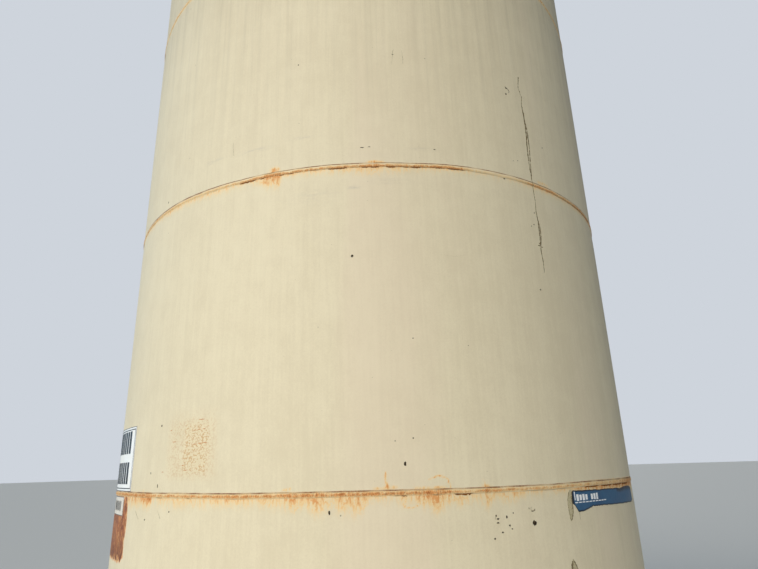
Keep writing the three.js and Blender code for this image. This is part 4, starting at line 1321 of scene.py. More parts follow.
STICKER_AZIMUTH = 47
STICKER_HEIGHT = 1.464
STICKER_HALF = 372
STICKER_ROWS = [0, 0.045, 0.09, 0.3, 0.5, 0.7, 0.91, 0.955, 1]
# Close columns at the sticker's torn ends, in mm from its middle
STICKER_ENDS = ([-371.5, -370, -368, -366, -363], [364, 367, 369, 370.5])
# The sticker's torn edges, along the shell and up from its middle, in mm
TORN_TOP = [
    (-372, -7), (-369, 28), (-362, 47), (-190, 45), (-134, 43), (-100, 44), (-10, 42), (59, 42),
    (115, 37), (177, 43), (270, 45), (330, 41), (372, 30),
]
TORN_BOTTOM = [
    (-372, -8), (-355, -18), (-349, -27), (-335, -46), (-296, -46), (-250, -36), (-216, -29),
    (-79, -31), (120, -36), (330, -40), (372, -30),
]
# The sticker's print: an upright stroke, a row of large bars with a gap in it, and a row of small bars
STICKER_STROKE = (34.45, 1.4865, 0.006, 0.036)
LARGE_ROW = {"first": 35.15, "step": 0.82, "height": 1.4785, "width": 0.0165}
LARGE_BARS = (0.028, 0.024, 0.027, 0.023, 0, 0.024, 0.026, 0.028)
SMALL_ROW = {"first": 34.75, "step": 0.98, "height": 1.458, "width": 0.021}
SMALL_BARS = (0.0042,) * 10


def tear(draw, count):
    """An uneven line, for a torn edge."""
    return np.abs(np.convolve(draw.normal(0, 1, count + 8), np.ones(9) / 3, "valid"))


def make_sticker(blue, pale):
    along = np.concatenate([STICKER_ENDS[0], np.linspace(-360, 360, 241), STICKER_ENDS[1]])
    draw = np.random.default_rng(5)
    inside = np.clip((STICKER_HALF - np.abs(along)) / 20, 0, 1)
    top = np.interp(along, *zip(*TORN_TOP)) - tear(draw, len(along)) * 1.1 * inside
    bottom = np.interp(along, *zip(*TORN_BOTTOM)) + tear(draw, len(along)) * inside
    azimuths = STICKER_AZIMUTH + degrees_along(along / 1000)
    bottom, top = (STICKER_HEIGHT + line / 1000 for line in (bottom, top))
    part = shell_plate(azimuths, 0.0, NOTICE_PLATE, bottom, top, STICKER_ROWS)
    # The edge values mark where the sticker is painted dark along its edges, as shadow under their curl and
    # dirt
    edge = part[2].reshape(2, len(along), len(STICKER_ROWS)).copy()
    edge[:, :, [1, -2]] = 0.9
    edge[:, : len(STICKER_ENDS[0]) + 1, :] = 1
    edge[:, along > 60, -3] = 1
    Shape(part).lay("sticker", blue, "sticker_blue", ["torn_sticker"], edge=edge.ravel())
    printed = Shape(bar(*STICKER_STROKE, *PRINT))
    for row, bars in ((LARGE_ROW, LARGE_BARS), (SMALL_ROW, SMALL_BARS)):
        for n, tall in enumerate(bars):
            if tall:
                azimuth = row["first"] + row["step"] * n
                printed.add(bar(azimuth, row["height"], row["width"], tall, *PRINT))
    printed.lay("sticker_print", pale)


# Marks on the paint
MARK_LIFT = 0.0004


def ribbon(shape, path, lift=MARK_LIFT):
    """A thin strip on the shell and over its seams: points of azimuth, height and half width in mm."""
    azimuth, z, wide = np.array(path, float).T
    rise, half = bead_rise(azimuth, z), degrees_along(wide / 1000)
    corners = ((-1, lift), (1, lift), (1, -lift), (-1, -lift))
    sides = [shell_points(azimuth + hand * half, z, rise + up) for hand, up in corners]
    shape.add(lofted(np.stack(sides, axis=1), closed=False))


def blot(shape, azimuth, height, wide, tall, seed):
    """A small mark with an uneven outline, of half a width and half a height in mm."""
    angle = np.linspace(0, 2 * math.pi, 14, endpoint=False)
    uneven = 1 + np.random.default_rng(seed).uniform(-0.28, 0.28, 14)
    turn = azimuth + degrees_along(wide / 1000 * uneven * np.cos(angle))
    z = height + tall / 1000 * uneven * np.sin(angle)
    rings = [shell_points(turn, z, lift) for lift in (MARK_LIFT, -MARK_LIFT)]
    shape.add(lofted(rings, closed=False))


def wavering(path, step, sway, uneven, draw):
    """A line through points of azimuth, height and half width that wavers, with an uneven width."""
    path = np.array(path, float).T
    length = np.concatenate([[0], np.cumsum(np.hypot(np.diff(path[1]), np.radians(np.diff(path[0]))))])
    t = np.linspace(0, length[-1], max(4, int(length[-1] / step)))
    azimuth, z, wide = (np.interp(t, length, row) for row in path)
    window = min(9, len(t))
    drift = np.convolve(draw.normal(0, 1, len(t) + 2 * window), np.ones(window) / window ** 0.5, "same")
    azimuth = azimuth + sway * drift[window:-window]
    wide = np.clip(wide * (1 + uneven * draw.normal(0, 1, len(t))), 0.3, None)
    return np.stack([azimuth, z, wide], axis=1)


def arc(azimuth, height, radius, start, end, wide):
    """Points of a thin round mark on the shell, of a radius in mm between two angles."""
    angles = np.radians(np.linspace(start, end, 14))
    turn = degrees_along(radius / 1000) * np.cos(angles)
    return [(azimuth + a, height + radius / 1000 * math.sin(g), wide) for a, g in zip(turn, angles)]


# The long scratch: points of azimuth, height and half width in mm
CRACK_TOP = [
    (33.60, 3.764, 2.2), (33.44, 3.734, 1.5), (33.18, 3.687, 0.8), (33.85, 3.626, 0.9), (33.57, 3.576, 1.0),
    (33.64, 3.546, 2.8), (33.74, 3.522, 3.8), (33.90, 3.438, 4.0), (33.78, 3.359, 3.6), (33.60, 3.280, 2.8),
    (33.55, 3.218, 2.6), (33.75, 3.120, 2.6), (33.83, 3.084, 2.0),
]
CRACK_CROSSING = [(33.83, 3.086, 1.9), (33.86, 3.070, 1.5), (33.88, 3.055, 1.3), (33.92, 3.030, 1.4)]
CRACK_TOP_TWIN = [(34.0, 3.46, 1.0), (34.28, 3.40, 2.4), (34.32, 3.34, 2.4), (34.2, 3.27, 2.2),
(34.0, 3.20, 2.0), (33.95, 3.12, 1.0)]
CRACK_LOW = [
    (33.92, 3.038, 1.4), (34.02, 2.970, 1.5), (33.86, 2.906, 2.0), (34.15, 2.802, 2.8), (34.07, 2.733, 3.2),
    (33.92, 2.679, 2.2), (34.10, 2.610, 1.9), (34.02, 2.561, 0.8),
]
CRACK_LOW_TWIN = [(33.95, 2.90, 0.8), (34.45, 2.81, 2.0), (34.4, 2.75, 2.0), (34.1, 2.715, 1.0)]
# Dark knots on the crack: azimuth, height, half width and half height in mm
CRACK_KNOTS = [
    (33.62, 3.758, 3.4, 6), (33.5, 3.738, 3, 4.5), (33.3, 3.712, 2.8, 4.5), (33.2, 3.69, 2.8, 4.5),
    (33.5, 3.662, 2.8, 4.5),
    (33.85, 3.628, 3, 5), (33.75, 3.605, 2.4, 4), (33.6, 3.584, 2.8, 5), (33.64, 3.556, 3.6, 6),
    (33.9, 3.362, 4.5, 8), (33.75, 3.345, 3, 5),
    (33.5, 2.709, 8, 3), (34.3, 2.705, 7, 2.6), (33.7, 2.722, 3, 4), (33.9, 2.69, 3, 6),
    (34.0, 2.745, 2.5, 6),
]


def make_crack(material):
    draw = np.random.default_rng(11)
    crack = Shape()
    for path in (CRACK_TOP, CRACK_TOP_TWIN, CRACK_LOW, CRACK_LOW_TWIN):
        ribbon(crack, wavering(path, 0.006, 0.03, 0.4, draw))
    ribbon(crack, wavering(CRACK_CROSSING, 0.003, 0.01, 0.15, draw), lift=0.0007)
    for n, knot in enumerate(CRACK_KNOTS):
        blot(crack, *knot, 500 + n)
    crack.lay("shell_crack", material)


# Thin level lines of rust on the crazed patch, in pieces: azimuths and height
RUST_LINES = [
    (-31.3, -30.6, 1.822), (-30.4, -29.4, 1.824), (-29.2, -28.5, 1.825), (-31.3, -30.2, 1.760),
    (-30.1, -29.1, 1.762),
    (-29.0, -28.0, 1.764), (-36.4, -35.4, 1.776), (-30.2, -28.8, 1.868), (-33.6, -32.9, 1.668),
    (-37.4, -36.8, 1.829),
    (-38.9, -38.3, 1.643), (-32.9, -32.0, 1.648),
]


def make_rust_lines(material):
    draw = np.random.default_rng(31)
    lines = Shape()
    for start, end, height in RUST_LINES:
        middle = height + 0.0006 * draw.normal(0, 1, 8)
        half = 0.0016 * np.sin(np.linspace(0.25, math.pi - 0.25, 8))
        azimuths = np.linspace(start, end, 8)
        lines.add(shell_plate(azimuths, -MARK_LIFT, MARK_LIFT, middle - half, middle + half, [0, 1]))
    lines.lay("rust_lines", material)


# Dark brown crust that hangs from a seam's weld, partly rust and partly painted shade in the gap under the
# weld: seam, first and last azimuth, depth in mm
RUST_AND_SHADE_CRUSTS = [
    (1, 11.9, 14.4, 3.6), (1, 3.8, 4.6, 1.8), (2, -24.2, -20.9, 4.4), (2, -19.9, -19.1, 1.6),
    (2, -16.0, -15.1, 1.8),
    (2, -14.4, -13.4, 1.6), (2, -7.0, -3.6, 3.8), (2, -1.0, 0.1, 2.6), (2, 0.5, 2.0, 3.2),
    (2, 3.3, 4.9, 4.2),
    (2, 6.3, 7.3, 2.2), (2, 7.7, 9.4, 3.4), (2, 14.6, 16.6, 2.2), (1, 37.6, 42.0, 4.0),
    (1, 43.0, 47.2, 5.0),
    (1, 47.8, 52.4, 5.5), (1, 52.8, 57.6, 6.5), (2, 12.2, 13.4, 1.8),
]


def make_crust_and_shade(material):
    draw = np.random.default_rng(29)
    crust = Shape()
    for seam, start, end, depth in RUST_AND_SHADE_CRUSTS:
        count = int((end - start) / 0.09) + 4
        azimuths = np.linspace(start, end, count)
        full = np.sin(np.linspace(0.15, math.pi - 0.15, count)) ** 0.5
        uneven = np.convolve(draw.normal(0, 1, count + 2), np.ones(3) / 2, "valid")
        hang = depth / 1000 * full * np.clip(0.85 + 0.28 * uneven, 0.15, 1.5)
        middle = BEADS[seam - 1]
        top = middle - 0.0112 + seam_shift(azimuths, middle) + 0.0006 * np.roll(uneven, 3)
        crust.add(shell_plate(azimuths, -MARK_LIFT, 0.0012, top - 0.0015 - hang, top, [0, 0.4, 1]))
    crust.lay("seam_crust_and_shade", material)


# Small dark chips: azimuth, height, half width and half height in mm
CHIPS = [
    (25, 1.391, 9.5, 10.5), (24.85, 1.4385, 8, 2.2), (25.25, 1.4425, 2.2, 4), (24.2, 1.450, 1.6, 3.5),
    (29.6, 3.645, 6.3, 4.9), (29.4, 3.603, 4.2, 7), (38.6, 3.341, 3.5, 3.5),
    (18.2, 1.429, 3.1, 4.9), (18.5, 1.417, 5.6, 3.5), (18.4, 1.402, 5.6, 2.8), (20, 1.422, 3.5, 6.3),
    (21.2, 1.436, 2.8, 2.8), (20.4, 1.389, 3.9, 3.9), (20.8, 1.375, 4.2, 2.5), (19.1, 1.364, 4.5, 3.4),
    (17.7, 1.342, 4.2, 4.2), (4.5, 1.645, 4.9, 8.4), (5.9, 1.748, 2.8, 3.5), (6.6, 2.178, 3.1, 2.2),
    (-2.95, 2.574, 5.6, 7), (-12.8, 3.687, 3.5, 3.5), (-6.8, 1.465, 4.5, 7.7), (-40.1, 1.857, 4.9, 4.9),
    (-39.8, 1.582, 2.8, 8.4), (-35.9, 1.47, 3.5, 3.5), (-0.9, 3.15, 8.4, 2.5), (0.4, 3.153, 5.6, 2.1),
    (12.3, 3.152, 5.6, 2.5), (-42.4, 1.64, 2.2, 5.6), (26.5, 3.052, 5, 4.5), (32.03, 2.811, 2.8, 2.8),
    (32.8, 2.824, 3.6, 2.8), (32.38, 2.463, 4.2, 3.5), (-43.1, 1.432, 4.2, 3.5), (-45.9, 3.118, 2.8, 7),
    (33.3, 2.895, 2.8, 3.5), (5.3, 3.716, 5.6, 2.2), (29.27, 3.177, 2.2, 2), (30.45, 3.186, 2.8, 2.4),
]
# A small hooked scratch beside the long one: azimuth, height, half width in mm
HOOK = [(29.3, 3.653, 2.2), (29.8, 3.645, 3.2), (30.2, 3.638, 2.8), (30.4, 3.628, 1.6), (30.2, 3.617, 0.9)]
# Faint scratches, as such points, and round ones: azimuth, height, radius in mm, two angles, half width in mm
SCRATCHES = [
    [(5.1, 3.655, 0.5), (5.3, 3.735, 0.9), (5.5, 3.749, 0.6)],
    [(7.1, 3.745, 0.5), (7.2, 3.70, 0.9), (7.15, 3.66, 0.6)],
    [(-47.2, 1.470, 0.6), (-46.4, 1.450, 1.5), (-45.6, 1.432, 0.9)],
    [(-39.1, 1.474, 0.5), (-38.2, 1.440, 1.2)],
    [(35.2, 1.419, 2.2), (35.15, 1.402, 1.4), (35.15, 1.386, 0.6)],
    [(-26.4, 3.30, 0.5), (-26.2, 3.22, 0.9)],
    [(12.2, 2.585, 0.4), (14.6, 2.578, 0.8), (16.8, 2.590, 0.5)],
]
ROUND_SCRATCHES = [
    (24.9, 1.447, 10, 120, 350, 1.0), (24.85, 1.446, 8, 205, 335, 2.4), (18.25, 1.420, 6, 100, 280, 0.9),
    (18.5, 1.404, 6, 200, 340, 1.0),
]
BACK_CHIPS = 46


def make_chips(dark, scrape):
    chips, faint = Shape(), Shape()
    for n, chip in enumerate(CHIPS):
        blot(chips, *chip, 100 + n)
    draw = np.random.default_rng(17)
    for n in range(BACK_CHIPS):
        place = [draw.uniform(*span) for span in ((62, 298), (0.2, 5.8), (1.5, 4.5), (1.5, 5))]
        blot(chips, *place, 300 + n)
    ribbon(chips, wavering(HOOK, 0.004, 0.02, 0.2, draw))
    chips.lay("shell_chips", dark)
    for line in SCRATCHES:
        ribbon(faint, wavering(line, 0.004, 0.02, 0.25, draw))
    for curve in ROUND_SCRATCHES:
        ribbon(faint, arc(*curve))
    faint.lay("shell_scratches", scrape)


# Strips where the paint has peeled, beside the sticker and below it: azimuth, height, half width in mm
PEELED = [
    [(33.6, 1.514, 9), (33.4, 1.498, 12), (33.1, 1.472, 14), (33.1, 1.439, 16), (33.1, 1.42, 14),
    (33.0, 1.40, 8), (32.85, 1.383, 1)],
    [(32.15, 1.234, 1.5), (32.2, 1.215, 10), (32.35, 1.195, 17), (32.5, 1.17, 20), (32.55, 1.14, 17),
    (32.5, 1.11, 8), (32.45, 1.09, 0.6)],
]
# How wide the dark rims of each strip are on its two sides, in mm: painted shadow along the strips' edges
RIM_WIDTHS = [(1.0, 2.2), (4.0, 2.6)]


def make_peeled(material, dark):
    peeled, rims = Shape(), Shape()
    draw = np.random.default_rng(23)
    for path, widths in zip(PEELED, RIM_WIDTHS):
        inside = wavering(path, 0.004, 0.01, 0.03, draw)
        ribbon(peeled, inside)
        # The rims are dark ribbons of painted shadow along each strip's edges
        for hand, wide in zip((-1, 1), widths):
            rim = inside.copy()
            rim[:, 0] += hand * degrees_along(inside[:, 2] / 1000)
            rim[:, 2] = wide * (1 + 0.4 * draw.normal(0, 1, len(rim))).clip(0.3, 2)
            ribbon(rims, rim[2:-1], lift=0.0006)
    peeled.lay("peeled_paint", material)
    rims.lay("peeled_rims", dark)


# Roof
def roof_top(distance):
    return EAVE_HEIGHT + (EAVE_RADIUS - distance) * ROOF_SLOPE + ROOF_PLATE


ROOF_NECKS = {
    "vent": {"azimuth": 0, "distance": 0.0, "outer": 0.0445, "bore": 0.039, "above": 0.330},
    "manhole": {"azimuth": 135, "distance": 0.85, "outer": 0.311, "bore": 0.3048, "above": 0.170},
    "emergency": {"azimuth": 225, "distance": 0.85, "outer": 0.1095, "bore": 0.103, "above": 0.190},
    "gauge": {"azimuth": 202.5, "distance": 1.27, "outer": 0.1095, "bore": 0.103, "above": 0.150},
}
NECK_BELOW_ROOF = 0.060
ROOF_SEAMS = [20, 110, 200, 290]
SEAM_RADIUS = 0.0065
SEAM_SUNK = 0.0042
# The waves that welding leaves in the roof, and how near its rim rust gathers
ROOF_SAG = 0.0016
RIM_REACH = 0.03


def roof_place(neck):
    """A frame at a roof neck, whose Z is zero where the neck's axis meets the top of the roof."""
    return Matrix.Translation(Vector(polar(neck["distance"], neck["azimuth"], roof_top(neck["distance"]))))


def roof_surface(neck):
    """Height of the roof at a point beside a neck, from where the neck's axis meets it."""
    cx, cy, top = roof_place(neck).translation
    return lambda x, y: roof_top(math.hypot(cx + x, cy + y)) - top


def make_top_angle():
    low, face = SHELL_TOP - TOP_ANGLE_LEG, SHELL_RADIUS + SEAT
    inner, outer, shelf = face + TOP_ANGLE_PLATE, face + TOP_ANGLE_LEG, SHELL_TOP - TOP_ANGLE_PLATE
    profile = [(face, low), (inner, low), (inner, shelf), (outer, shelf)]
    profile += [(outer, SHELL_TOP), (face, SHELL_TOP)]
    turned_piece("rim_angle", ["top_angle"], None, profile, 360, FITTING, soft=0.002)


def make_roof_sheet():
    centre = ROOF_NECKS["vent"]["outer"] + SEAT
    radii = np.concatenate([[centre], np.linspace(0.08, EAVE_RADIUS - 0.004, 34), [EAVE_RADIUS]])
    a, r = np.meshgrid(np.arange(0, 360, 1.0), radii, indexing="ij")
    sag = np.abs(ROOF_SAG * np.sin(np.radians(a) * 8) * np.sin(math.pi * r / EAVE_RADIUS) ** 2)
    base = EAVE_HEIGHT + (EAVE_RADIUS - r) * ROOF_SLOPE - sag
    points = np.concatenate([polar(r, a, base + ROOF_PLATE), polar(r, a, base)[:, ::-1]], axis=1)
    necks = [neck for neck in ROOF_NECKS.values() if neck["distance"] > 0]
    mesh = pierced(Shape(lofted(points)).mesh("roof_sheet"), necks, -0.2, 0.2, 48, roof_place)
    radius, azimuth, _ = point_places(mesh)
    uneven = np.clip(0.5 + 0.5 * wander(azimuth, 57, (9, 23, 47, 83)), 0, 1.2)
    store(mesh, rust=0.6 * uneven * swell(radius, EAVE_RADIUS, RIM_REACH))
    dress("roof_sheet", mesh, roof_finish(), ["roof_plate"], 30, False)


def make_roof_beads():
    seams = Shape()
    distances = np.arange(0.075, EAVE_RADIUS - 0.01, 0.012)
    for azimuth in ROOF_SEAMS:
        seams.add(tube(polar(distances, azimuth, roof_top(distances) - SEAM_SUNK), SEAM_RADIUS, 12))
    rust = 0.7 + 0.3 * np.sin(np.arange(seams.count) * 0.05)
    seams.lay("roof_beads", WELD, "weld_bead", sharp=60, rust=rust, shade=0)


def flanged(neck, low, high, flange_radius, flange_plate):
    return [
        (neck["bore"], low), (neck["outer"], low), (neck["outer"], high - flange_plate),
        (flange_radius, high - flange_plate), (flange_radius, high), (neck["bore"], high),
    ]


# The manhole's cover. Its bolts, like others below, are a circle's radius, their count and their size
COVER_RADIUS = 0.385
COVER_PLATE = 0.008
COVER_BOLTS = (0.355, 24, 0.016)
COVER_GRIP = 0.0183
# Flanges of the roof necks: node, radius and plate of the flange, and sides round it
ROOF_FLANGES = {
    "manhole": (["roof_manhole_neck"], COVER_RADIUS, 0.010, 128),
    "emergency": (["emergency_vent_neck"], 0.150, 0.014, 72),
    "gauge": (["gauge_hatch_neck"], 0.140, 0.012, 72),
}
ROOF_WELD_LEGS = {"vent": 0.006, "manhole": 0.008, "emergency": 0.007, "gauge": 0.007}


def make_roof_neck(key):
    """A flanged neck. Returns its place and the height of what sits on its flange."""
    neck = ROOF_NECKS[key]
    place, above = roof_place(neck), neck["above"]
    nodes, radius, plate, sides = ROOF_FLANGES[key]
    profile = flanged(neck, -NECK_BELOW_ROOF, above, radius, plate)
    turned_piece(key + "_neck", nodes, place, profile, sides, FITTING)
    return place, above + SEAT


def make_roof_bead(key):
    neck = ROOF_NECKS[key]
    neck_weld(key + "_bead", neck["outer"], ROOF_WELD_LEGS[key], roof_surface(neck), roof_place(neck))


def raised(profile, height):
    return [(r, height + h) for r, h in profile]


def make_casting(name, nodes, place, profile, sides, soft):
    turned_piece(name, nodes, place, profile, sides, ALUMINIUM, "cast_aluminium", soft)


def make_roof_manhole():
    place, low = make_roof_neck("manhole")
    top = low + COVER_PLATE
    turned_piece("manhole_cover", ["roof_manhole_cover"], place, disc(COVER_RADIUS, low, top), 128, FITTING)
    bolt_circle("manhole_bolts", place, *COVER_BOLTS, top, COVER_GRIP)
    make_roof_bead("manhole")


def make_emergency_vent():
    place, low = make_roof_neck("emergency")
    cap = [(0, 0), (0.136, 0), (0.142, 0.026), (0.120, 0.048), (0.040, 0.066), (0.028, 0.092), (0, 0.092)]
    make_casting("emergency_cap", ["emergency_vent_cap"], place, raised(cap, low), 72, 0.006)
    make_roof_bead("emergency")


def make_gauge_hatch():
    place, low = make_roof_neck("gauge")
    lid = raised([(0, 0), (0.126, 0), (0.126, 0.020), (0.060, 0.040), (0, 0.040)], low)
    hatch = Shape(turned(lid, 72, soft=0.005), place)
    hatch.add(block((-0.030, 0.030), (0.100, 0.150), (low, low + 0.024), 0.004), place)
    hatch.add(block((-0.014, 0.014), (-0.165, -0.100), (low + 0.006, low + 0.018), 0.004), place)
    hatch.make("gauge_lid", ALUMINIUM, "cast_aluminium", ["gauge_hatch_lid"])
    make_roof_bead("gauge")


def make_vent():
    neck = ROOF_NECKS["vent"]
    place, above, outer = roof_place(neck), neck["above"], neck["outer"]
    pipe = ring(neck["bore"], outer, -NECK_BELOW_ROOF, above)
    turned_piece("vent_stack", ["vent_pipe"], place, pipe, 48, FITTING)
    plug, skirt = above + SEAT, above - 0.040
    cap = [
        (0, plug), (outer + 0.022, plug), (outer + 0.034, skirt), (outer + 0.040, skirt),
        (outer + 0.040, plug + 0.014), (outer, plug + 0.044), (0, plug + 0.052),
    ]
    make_casting("vent_hood", ["vent_cap"], place, cap, 64, 0.003)
    make_roof_bead("vent")


# Fittings on the shell
MANWAY = {"flange": 0.411, "plate": 0.010, "cover": 0.0095, "pad": 0.520, "pad_plate": 0.0064}
MANWAY_BOLTS = (0.380, 28, 0.019)
MANWAY_GRIP = 0.0198
VALVE = {"flange": 0.1145, "plate": 0.024, "length": 0.229, "body": 0.088, "gate": 0.014, "belly": 0.040}
FLANGE_BOLTS = (0.0955, 8, 0.016)
BONNET_BOLTS = (0.078, 8, 0.012)
BLIND_PLATE = 0.022
BONNET = [
    (0, 0.060), (0.062, 0.060), (0.062, 0.130), (0.092, 0.130), (0.092, 0.152), (0.040, 0.170),
    (0.026, 0.190), (0.026, 0.270), (0.013, 0.270), (0.013, 0.330), (0, 0.330),
]
BONNET_FACE = 0.152
BONNET_GRIP = 0.022
WHEEL = {"up": 0.296, "middle": 0.116, "rim": 0.008, "hub": 0.026, "spoke": 0.0058}
# A spoke, from the hub to the rim: radius and height
SPOKE = [(0.020, -0.001), (0.045, -0.003), (0.080, -0.004), (0.105, -0.002), (WHEEL["middle"], 0.0)]


def shell_surface(lift=0.0):
    """Distance from the tank's axis of the shell, or of a plate that lies on it, at a point beside a neck."""
    return lambda x, y: math.sqrt((SHELL_RADIUS + lift) ** 2 - x * x)


def bent_pad(edge, hole, thickness, sides=128):
    """A round plate with a round hole, bent round the shell, as rings from the hole to the edge and back."""
    soft, middle = 0.002, 0.5 * (hole + edge)
    section = [
        (hole, thickness, 0.8), (hole + WEAR_REACH, thickness, 0), (middle, thickness, 0),
        (edge - WEAR_REACH, thickness, 0), (edge - soft, thickness, 1), (edge, thickness - soft, 1),
        (edge, SEAT, 1), (middle, SEAT, 0), (hole, SEAT, 0),
    ]
    columns = []
    for angle in np.linspace(0, 2 * math.pi, sides, endpoint=False):
        flat = [(r * math.cos(angle), r * math.sin(angle), lift) for r, lift, _ in section]
        columns.append([(x, y, shell_surface(lift)(x, y)) for x, y, lift in flat])
    return lofted(columns, wear=[worn for *_, worn in section] * sides)


def make_shell_manway():
    neck = NECKS["manway"]
    place = shell_place(neck)
    pad = bent_pad(MANWAY["pad"], neck["outer"] + SEAT, MANWAY["pad_plate"])
    Shape(pad, place).lay("manway_pad", FITTING, "cream_paint", ["shell_manway_pad"])
    start, end = SHELL_RADIUS + neck["from"], SHELL_RADIUS + neck["to"]
    profile = flanged(neck, start, end, MANWAY["flange"], MANWAY["plate"])
    turned_piece("manway_neck", ["shell_manway_neck"], place, profile, 128, FITTING)
    top = end + SEAT + MANWAY["cover"]
    cover = disc(MANWAY["flange"], end + SEAT, top)
    turned_piece("manway_cover", ["shell_manway_cover"], place, cover, 128, FITTING)
    bolt_circle("manway_bolts", place, *MANWAY_BOLTS, top, MANWAY_GRIP)
    neck_weld("manway_bead", neck["outer"], 0.009, shell_surface(MANWAY["pad_plate"]), place)
    neck_weld("manway_pad_bead", MANWAY["pad"] + 0.0005, 0.006, shell_surface(), place)


def make_handwheel(place):
    middle, rim = WHEEL["middle"], WHEEL["rim"]
    turns = [2 * math.pi * k / 16 for k in range(16)]
    section = [(middle + rim * math.cos(t), rim * math.sin(t)) for t in turns]
    wheel = Shape(turned(section, 72, soft=0.0), place)
    wheel.add(turned(disc(WHEEL["hub"], -0.010, 0.010), 32, soft=0.003), place)
    for n in range(4):
        angle = math.pi / 2 * n
        path = [(r * math.cos(angle), r * math.sin(angle), h) for r, h in SPOKE]
        wheel.add(tube(path, WHEEL["spoke"], 12), place)
    wheel.make("valve_wheel", IRON, "cast_iron", ["outlet_handwheel"])


def make_valve(neck, place, start):
    """A gate valve between its flanges, with its bonnet upright. Returns the place of its stem."""
    flange, plate, gate = VALVE["flange"], VALVE["plate"], start + VALVE["length"] / 2
    half = [
        (0, VALVE["gate"]), (neck["bore"], VALVE["gate"]), (neck["bore"], VALVE["length"] / 2),
        (flange, VALVE["length"] / 2), (flange, VALVE["length"] / 2 - plate),
        (neck["outer"] + 0.008, VALVE["length"] / 2 - plate - 0.010), (VALVE["body"], VALVE["belly"]),
    ]
    profile = [(r, gate - h) for r, h in half] + [(r, gate + h) for r, h in reversed(half)]
    valve = Shape(turned(profile, 64, soft=0.006), place)
    stem = facing(neck["azimuth"]) @ Matrix.Translation((0, -gate, neck["height"]))
    valve.add(turned(BONNET, 48, soft=0.003), stem)
    valve.make("gate_valve", IRON, "cast_iron", ["outlet_valve"])
    bolt_circle("bonnet_bolts", stem, *BONNET_BOLTS, BONNET_FACE, BONNET_GRIP)
    return stem


def make_outlet():
    neck, plate = NECKS["outlet"], VALVE["plate"]
    place = shell_place(neck)
    first, last = SHELL_RADIUS + neck["from"], SHELL_RADIUS + neck["to"]
    profile = flanged(neck, first, last, VALVE["flange"], plate)
    turned_piece("outlet_neck", ["outlet_nozzle"], place, profile, 64, FITTING, soft=0.002)
    neck_weld("outlet_bead", neck["outer"], 0.007, shell_surface(), place)
    start = last + SEAT
    stem = make_valve(neck, place, start)
    blind = start + VALVE["length"] + SEAT
    profile = disc(VALVE["flange"], blind, blind + BLIND_PLATE)
    turned_piece("blind_flange", ["outlet_blind_flange"], place, profile, 64, STEEL, "steel", 0.002)
    bolt_circle("outlet_bolts", place, *FLANGE_BOLTS, start + plate, 2 * plate)
    bolt_circle("blind_bolts", place, *FLANGE_BOLTS, blind + BLIND_PLATE, BLIND_PLATE + plate)
    make_handwheel(stem @ Matrix.Translation((0, 0, WHEEL["up"])))


def make_drain():
    neck = NECKS["drain"]
    place, end = shell_place(neck), SHELL_RADIUS + neck["to"]
    coupling = Shape(turned(disc(neck["outer"], SHELL_RADIUS + neck["from"], end), 48, soft=0.002), place)
    coupling.add(turned(disc(neck["bore"] + 0.001, end - 0.001, end + 0.006), 40, soft=0.001), place)
    coupling.add(hexagon(neck["bore"], end + 0.005, end + 0.018), place)
    coupling.make("drain_plug", STEEL, "steel", ["drain_coupling"], sharp=25)
    neck_weld("drain_bead", neck["outer"], 0.006, shell_surface(), place)


def ray_length(start, direction, loop):
    """How far a ray goes from a point inside a closed outline to the outline."""
    (cx, cy), (dx, dy) = start, direction
    lengths = []
    for (x0, y0), (x1, y1) in zip(loop, loop[1:] + loop[:1]):
        ex, ey = x1 - x0, y1 - y0
        det = ex * dy - ey * dx
        if abs(det) < 1e-12:
            continue
        t = (ex * (y0 - cy) - ey * (x0 - cx)) / det
        s = (dx * (y0 - cy) - dy * (x0 - cx)) / det
        if t > 0 and -1e-9 <= s <= 1 + 1e-9:
            lengths.append(t)
    return max(lengths)


def plate_with_hole(outline, middle, hole, half, sides):
    """A flat plate with a round hole on its X axis, as rings from the hole to its outline and back."""
    soft, columns = SOFT_EDGE, []
    for angle in np.linspace(0, 2 * math.pi, sides, endpoint=False):
        dx, dy = math.cos(angle), math.sin(angle)
        reach = ray_length((middle, 0.0), (dx, dy), outline)
        face = [(hole, half - soft), (hole + soft, half), (0.5 * (hole + reach), half)]
        face += [(reach - soft, half), (reach, half - soft)]
        face += [(r, -h) for r, h in reversed(face)]
        columns.append([(middle + r * dx, r * dy, h) for r, h in face])
    return lofted(columns, wear=[1, 1, 0, 1, 1, 1, 1, 0, 1, 1] * sides)


# Lifting lugs: height below the shell's top, and the pad's and the plate's measures
LUG_BELOW_TOP = 0.210
LUG_PAD = {"half": 0.110, "tall": 0.242, "plate": 0.008}
LUG_PLATE = {"reach": 0.075, "nose": 0.050, "half": 0.085, "thick": 0.020, "eye": 0.024}
LUG_ROWS = [0, 0.045, 0.5, 0.955, 1]
EARTH_OUTLINE = [(0, -0.030), (0.052, -0.030), (0.060, -0.022), (0.060, 0.022), (0.052, 0.030), (0, 0.030)]
# The earthing lug's hole: how far out its middle is, and its radius
EARTH_HOLE = (0.038, 0.007)
EARTH_THICK = 0.008
EARTH_HEIGHT = 0.180


